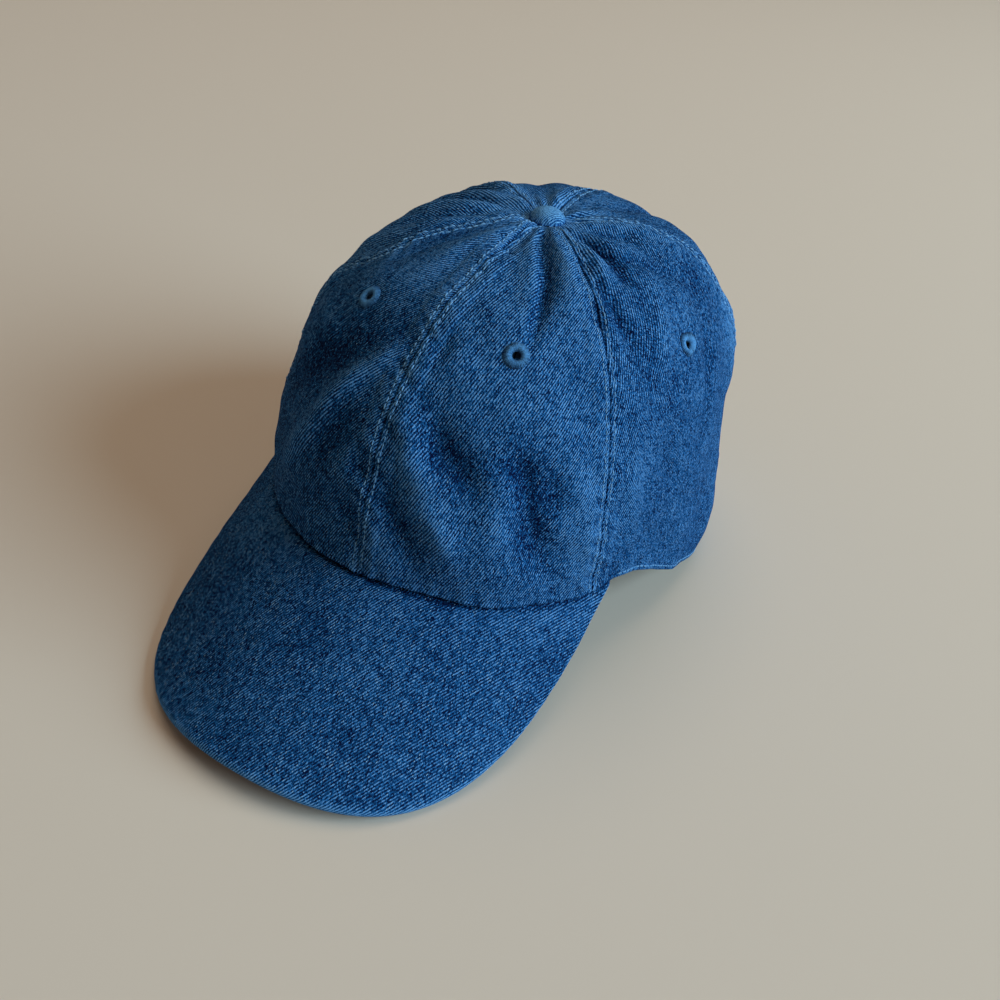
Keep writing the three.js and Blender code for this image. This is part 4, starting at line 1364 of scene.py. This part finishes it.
def lathe(name, profile, material, gathers=0.0):
    """A closed turned piece round the top's upright axis; profile is (radius, height) points."""
    sides = 72
    profile = np.array(profile, float) + (0, BUTTON_LIFT)
    steps = np.linspace(0, len(profile) - 1, (len(profile) - 1) * 3 + 1)
    line = np.stack([np.interp(steps, np.arange(len(profile)), profile[:, k]) for k in (0, 1)], -1)
    for _ in range(2):
        line[1:-1] = (line[:-2] + 2 * line[1:-1] + line[2:]) / 4
    radius, height = line[1:-1].T
    turn = np.arange(sides) * 2 * math.pi / sides
    folds = np.sin(turn * COVER_FOLDS + 0.6 * np.sin(3 * turn))[:, None]
    swell = 1 + gathers * folds * smooth(radius / radius.max(), 0.55, 1)
    rings = spread_over(
        np.cos(turn)[:, None] * radius * swell, np.sin(turn)[:, None] * radius * swell, height,
    ).reshape(-1, 3)
    ends = np.array([[0, 0, line[0, 1]], [0, 0, line[-1, 1]]])
    vertices = np.concatenate([rings, ends]) + TOP
    rows = len(radius)
    low_end, high_end = sides * rows, sides * rows + 1
    faces = []
    for i in range(sides):
        here, beyond = i * rows, (i + 1) % sides * rows
        faces += [(here + j, beyond + j, beyond + j + 1, here + j + 1) for j in range(rows - 1)]
        faces += [(low_end, beyond, here), (high_end, here + rows - 1, beyond + rows - 1)]
    flat = (vertices - TOP)[:, :2] * CLOTH_STRETCH
    wear_and_shade = np.clip(0.55 + 0.5 * (vertices[:, 2] - TOP[2] - 2.5) / 2.5, 0, 1)
    return new_piece(name, vertices, faces, [material], uv=flat, wear_and_shade=wear_and_shade)


def add_button():
    cover = lathe("button_cover_denim", [
        (0, 4.4), (1.3, 4.33), (2.6, 4.08), (3.9, 3.55), (5.0, 2.8), (5.9, 1.85), (6.45, 1.0),
        (6.6, 0.4), (6.3, 0.02), (5.0, 0), (5.0, 0.5), (5.75, 0.7), (5.2, 1.7), (3.9, 2.6),
        (2.0, 3.4), (0, 3.65),
    ], denim_button, gathers=0.014)
    stand_for(cover, "button_cover")
    shell = lathe("button_shell_metal", [
        (0, 3.25), (1.9, 3.0), (3.6, 2.3), (4.7, 1.3), (4.7, 0.6),
        (4.1, 0.6), (4.1, 1.1), (3.2, 1.8), (1.7, 2.4), (0, 2.6),
    ], zinc)
    stand_for(shell, "button_shell")
    disc = -TAPE_DEPTH - TAPE_THICKNESS - 0.4 - BUTTON_LIFT
    rivet = lathe("button_rivet_metal", [
        (0, 2.1), (0.9, 1.8), (1.2, 1.2), (1.2, disc + 0.2), (1.4, disc),
        (5.4, disc), (5.9, disc - 0.2), (5.9, disc - 0.5), (5.4, disc - 0.7), (0, disc - 0.9),
    ], zinc)
    stand_for(rivet, "button_rivet")


# ---- strap, keeper tab and buckle ---------------------------------------
def wrap(x, y, z):
    """Flat strap coordinates, in millimetres, bent round the strap's upright axis."""
    angle, radius = x / STRAP_RADIUS, STRAP_RADIUS + y
    return spread_over(radius * np.sin(angle), STRAP_AXIS_Y + radius * np.cos(angle), z)


def arc(degrees):
    return math.radians(degrees) * STRAP_RADIUS


def add_strap():
    middle, half = (STRAP_LOW + STRAP_HIGH) / 2, (STRAP_HIGH - STRAP_LOW) / 2
    x = np.linspace(arc(STRAP_START), arc(STRAP_END), 190)
    from_tip = arc(STRAP_END) - x
    half_at = half - 2.9 * fade_out(from_tip, 0, 4.2)
    t = np.array([-1, -0.985, -0.95, -0.88, -0.8, -0.72, -0.55, -0.35, -0.1, 0.1, 0.35, 0.55,
                  0.72, 0.8, 0.88, 0.95, 0.985, 1])
    along, level = np.meshgrid(x, t, indexing="ij")
    z = middle + half_at[:, None] * level
    from_edge = half_at[:, None] * (1 - np.abs(level))
    to_tip = np.broadcast_to(from_tip[:, None], z.shape)
    rim = np.minimum(from_edge, to_tip)
    rounding = (STRAP_THICKNESS / 2 - 0.12) * fade_out(rim, 0, 0.9) ** 2
    stitch_dent = 0.16 * bell(from_edge, 2.2, 0.5)
    spot = np.stack([along, z, 0 * z], -1)
    bumps = 0.05 * ripple(spot, 7, 71) * smooth(rim, 0.5, 2)
    outer = wrap(along, STRAP_THICKNESS / 2 - 0.06 - rounding - stitch_dent + bumps, z)
    inner = wrap(along, -STRAP_THICKNESS / 2 + 0.06 + rounding + stitch_dent * 0.5, z)
    wear_and_shade = 0.25 + 0.45 * bell(rim, 0, 0.9) + 0.15 * bell(from_edge, 3.2, 0.6)
    wear_and_shade = wear_and_shade + 0.1 * ripple(spot, 12, 72)
    cut = np.stack([along, z], -1)
    piece = shell_piece("strap_denim", outer, inner, [denim], uv=cut,
                        wear_and_shade=np.clip(wear_and_shade, 0, 1), body="strap")
    stand_for(piece, "strap")
    declare_sheet(outer)

    def row(offset, side):
        def surface(along, lift):
            y = side * (STRAP_THICKNESS / 2 - 0.3 + lift)
            return wrap(along + arc(STRAP_START) + 2, y, middle + offset)
        return surface, arc(STRAP_END) - arc(STRAP_START) - 7
    rows = [row(offset, side) for offset in (-7.8, 7.8) for side in (1, -1)]
    piece = add_stitches("strap_stitching", rows, top_thread, radius=0.19, body="strap")


def rounded_path(points, steps=9):
    """A smooth line through a few points, by Chaikin's corner cutting."""
    line = np.array(points, float)
    for _ in range(3):
        a, b = line[:-1], line[1:]
        cut = np.stack([0.75 * a + 0.25 * b, 0.25 * a + 0.75 * b], 1).reshape(-1, 2)
        line = np.concatenate([line[:1], cut, line[-1:]])
    lengths = running_length(line)
    even = np.linspace(0, lengths[-1], int(lengths[-1] * steps / 4))
    return np.stack([np.interp(even, lengths, line[:, k]) for k in (0, 1)], -1), even


def add_keeper_tab():
    """One strip of denim: along the inside, round the buckle's bar and back over itself."""
    thick = 0.72
    inner_y, outer_y = STRAP_THICKNESS / 2 + 0.35 + thick / 2, 4.25 - thick / 2
    start = arc(BUCKLE_ANGLE) + TAB_BAR_FROM - 0.3 - thick / 2
    split, end = arc(BUCKLE_ANGLE) + TAB_BAR_TO + 2.4, arc(31)
    line, run = rounded_path([
        (end, inner_y), ((end + split) / 2, inner_y), (split, inner_y), (start + 1, inner_y),
        (start, inner_y + 0.2), (start, outer_y - 0.2),
        (start + 1, outer_y), (start + 2.9, outer_y),
        (split - 0.3, inner_y + thick + 0.25), (split + 1, inner_y + thick),
        ((end + split) / 2, inner_y + thick), (end, inner_y + thick),
    ])
    forward = unit(np.gradient(line, axis=0))
    side = np.stack([-forward[:, 1], forward[:, 0]], -1)
    low, high = STRAP_LOW + 0.2, STRAP_HIGH - 0.2
    levels = np.array([
        0, 0.12, 0.4, 1.0, 2.2, 4, 7, 9.8, 12.6, 15.6, 17.4, 18.6, 19.2, 19.48, 19.6])
    levels = low + levels * (high - low) / levels[-1]
    rim = np.minimum(levels - low, high - levels)
    round_off = (thick / 2 - 0.08) * fade_out(rim, 0, 0.5) ** 2

    def face(sign):
        offset = sign * (thick / 2 - round_off)[None, :, None]
        flat = line[:, None] + side[:, None] * offset
        return wrap(flat[..., 0], flat[..., 1], np.broadcast_to(levels, flat.shape[:2]))

    cut = spread_over(run[:, None], levels[None])
    wear_and_shade = np.broadcast_to(0.25 + 0.4 * bell(rim, 0, 0.8), cut.shape[:2])
    piece = shell_piece("keeper_tab_denim", face(1), face(-1), [denim], uv=cut, wear_and_shade=wear_and_shade)
    stand_for(piece, "keeper_tab")
    declare_sheet(face(1))


def add_bevelled(node, width, body):
    """The CAD piece again, with its edges eased as cast and tumbled metal has them."""
    source = bpy.data.objects[node]
    work = bmesh.new()
    work.from_mesh(source.data)
    bmesh.ops.remove_doubles(work, verts=work.verts, dist=1e-6)
    bmesh.ops.dissolve_limit(work, angle_limit=math.radians(2), verts=work.verts, edges=work.edges)
    sharp = [
        edge for edge in work.edges
        if len(edge.link_faces) == 2 and edge.calc_face_angle() > math.radians(40)
    ]
    bmesh.ops.bevel(work, geom=sharp, offset=width * 0.001, segments=3, profile=0.5,
                    affect="EDGES", clamp_overlap=True)
    name = f"{node}_brass"
    mesh = bpy.data.meshes.new(name)
    work.to_mesh(mesh)
    work.free()
    mesh.materials.append(brass)
    mesh.shade_smooth()
    mesh.set_sharp_from_angle(angle=math.radians(50))
    piece = place(name, mesh)
    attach(piece, body)
    stand_for(piece, node)


def add_buckle():
    add_bevelled("buckle_frame", 0.22, "cap")
    add_bevelled("buckle_gate", 0.2, "gate")
    add_bevelled("buckle_pin", 0.12, "cap")


# ---- the whole cap ------------------------------------------------------
for panel_name, panel_start, panel_end in (
    ("front_left", 0.0, FRONT_SEAM), ("front_right", -FRONT_SEAM, 0.0),
    ("side_left", FRONT_SEAM, BACK_SEAM), ("side_right", -BACK_SEAM, -FRONT_SEAM),
    ("back_left", BACK_SEAM, 180.0), ("back_right", -180.0, -BACK_SEAM),
):
    add_panel(panel_name, panel_start, panel_end)
add_crown_stitches()
add_tapes()
add_binding()
add_sweatband()
add_brim_cover("brim_top_denim", "brim_top", False, denim_brim, 102)
add_brim_cover("brim_under_denim", "brim_under", True, denim_under, 76)
add_board()
add_button()
add_strap()
add_keeper_tab()
add_buckle()


# ---- floor, light and camera --------------------------------------------
def add_studio():
    """A pale floor that curves up into a round backdrop, well outside the object."""
    flat, bend, wall, sides = 4.0, 1.2, 2.4, 96
    profile = [(0.0, 0.0), (flat, 0.0)]
    profile += [
        (flat + bend * math.sin(angle), bend - bend * math.cos(angle))
        for angle in np.linspace(0, math.pi / 2, 13)[1:]
    ]
    profile.append((flat + bend, wall))
    vertices = [(0.0, 0.0, 0.0)]
    for radius, height in profile[1:]:
        for turn in np.arange(sides) * 2 * math.pi / sides:
            vertices.append((radius * math.cos(turn), radius * math.sin(turn), height))
    faces = [(0, 1 + k, 1 + (k + 1) % sides) for k in range(sides)]
    for ring in range(len(profile) - 2):
        for k in range(sides):
            here, beyond = 1 + ring * sides + k, 1 + ring * sides + (k + 1) % sides
            faces.append((here, here + sides, beyond + sides, beyond))
    mesh = bpy.data.meshes.new("studio")
    mesh.from_pydata(vertices, [], faces)
    mesh.shade_smooth()
    shader = Shader("pale_floor", roughness=0.95)
    shader.colour(srgb(206, 198, 188))
    mesh.materials.append(shader.material)
    place("studio", mesh)


def add_light(name, size, power, colour, direction, distance):
    """A round soft light that faces the cap, so many metres away from it."""
    data = bpy.data.lights.new(name, "AREA")
    data.shape, data.size, data.energy, data.color = "DISK", size, power, colour
    light = place(name, data)
    way = Vector(direction).normalized()
    light.location = way * distance
    light.rotation_mode = "QUATERNION"
    light.rotation_quaternion = way.to_track_quat("Z", "Y")


def add_camera():
    azimuth, elevation, roll = math.radians(23.913), math.radians(39.144), math.radians(8.166)
    distance = 0.37628
    target = Vector((0.01895, -0.00297, 0.0435))
    back = Vector((
        math.sin(azimuth) * math.cos(elevation),
        -math.cos(azimuth) * math.cos(elevation),
        math.sin(elevation),
    ))
    level = (-back).cross(Vector((0, 0, 1))).normalized()
    upright = level.cross(-back)
    right = level * math.cos(roll) + upright * math.sin(roll)
    up = upright * math.cos(roll) - level * math.sin(roll)
    data = bpy.data.cameras.new("camera")
    data.sensor_width = 36.0
    data.lens = 35.70
    camera = place("camera", data)
    camera.matrix_world = Matrix((
        (right.x, up.x, back.x, target.x + back.x * distance),
        (right.y, up.y, back.y, target.y + back.y * distance),
        (right.z, up.z, back.z, target.z + back.z * distance),
        (0, 0, 0, 1),
    ))
    bpy.context.scene.camera = camera


def add_world():
    world = bpy.data.worlds.new("studio")
    world.use_nodes = True
    background = world.node_tree.nodes["Background"]
    background.inputs["Color"].default_value = (1.0, 0.62, 0.36, 1.0)
    background.inputs["Strength"].default_value = 0.14
    bpy.context.scene.world = world


add_studio()
# daylight from the wearer's left, a little behind, and a fainter warm light from above
add_light("window", 2.85, 172, (0.68, 0.90, 1.0), (0.85, 0.17, 0.42), 3.6)
add_light("overhead", 2.6, 30, (1.0, 0.82, 0.64), (-0.12, 0.32, 1.0), 3.0)
add_world()
add_camera()
bpy.context.scene.view_settings.view_transform = "Standard"
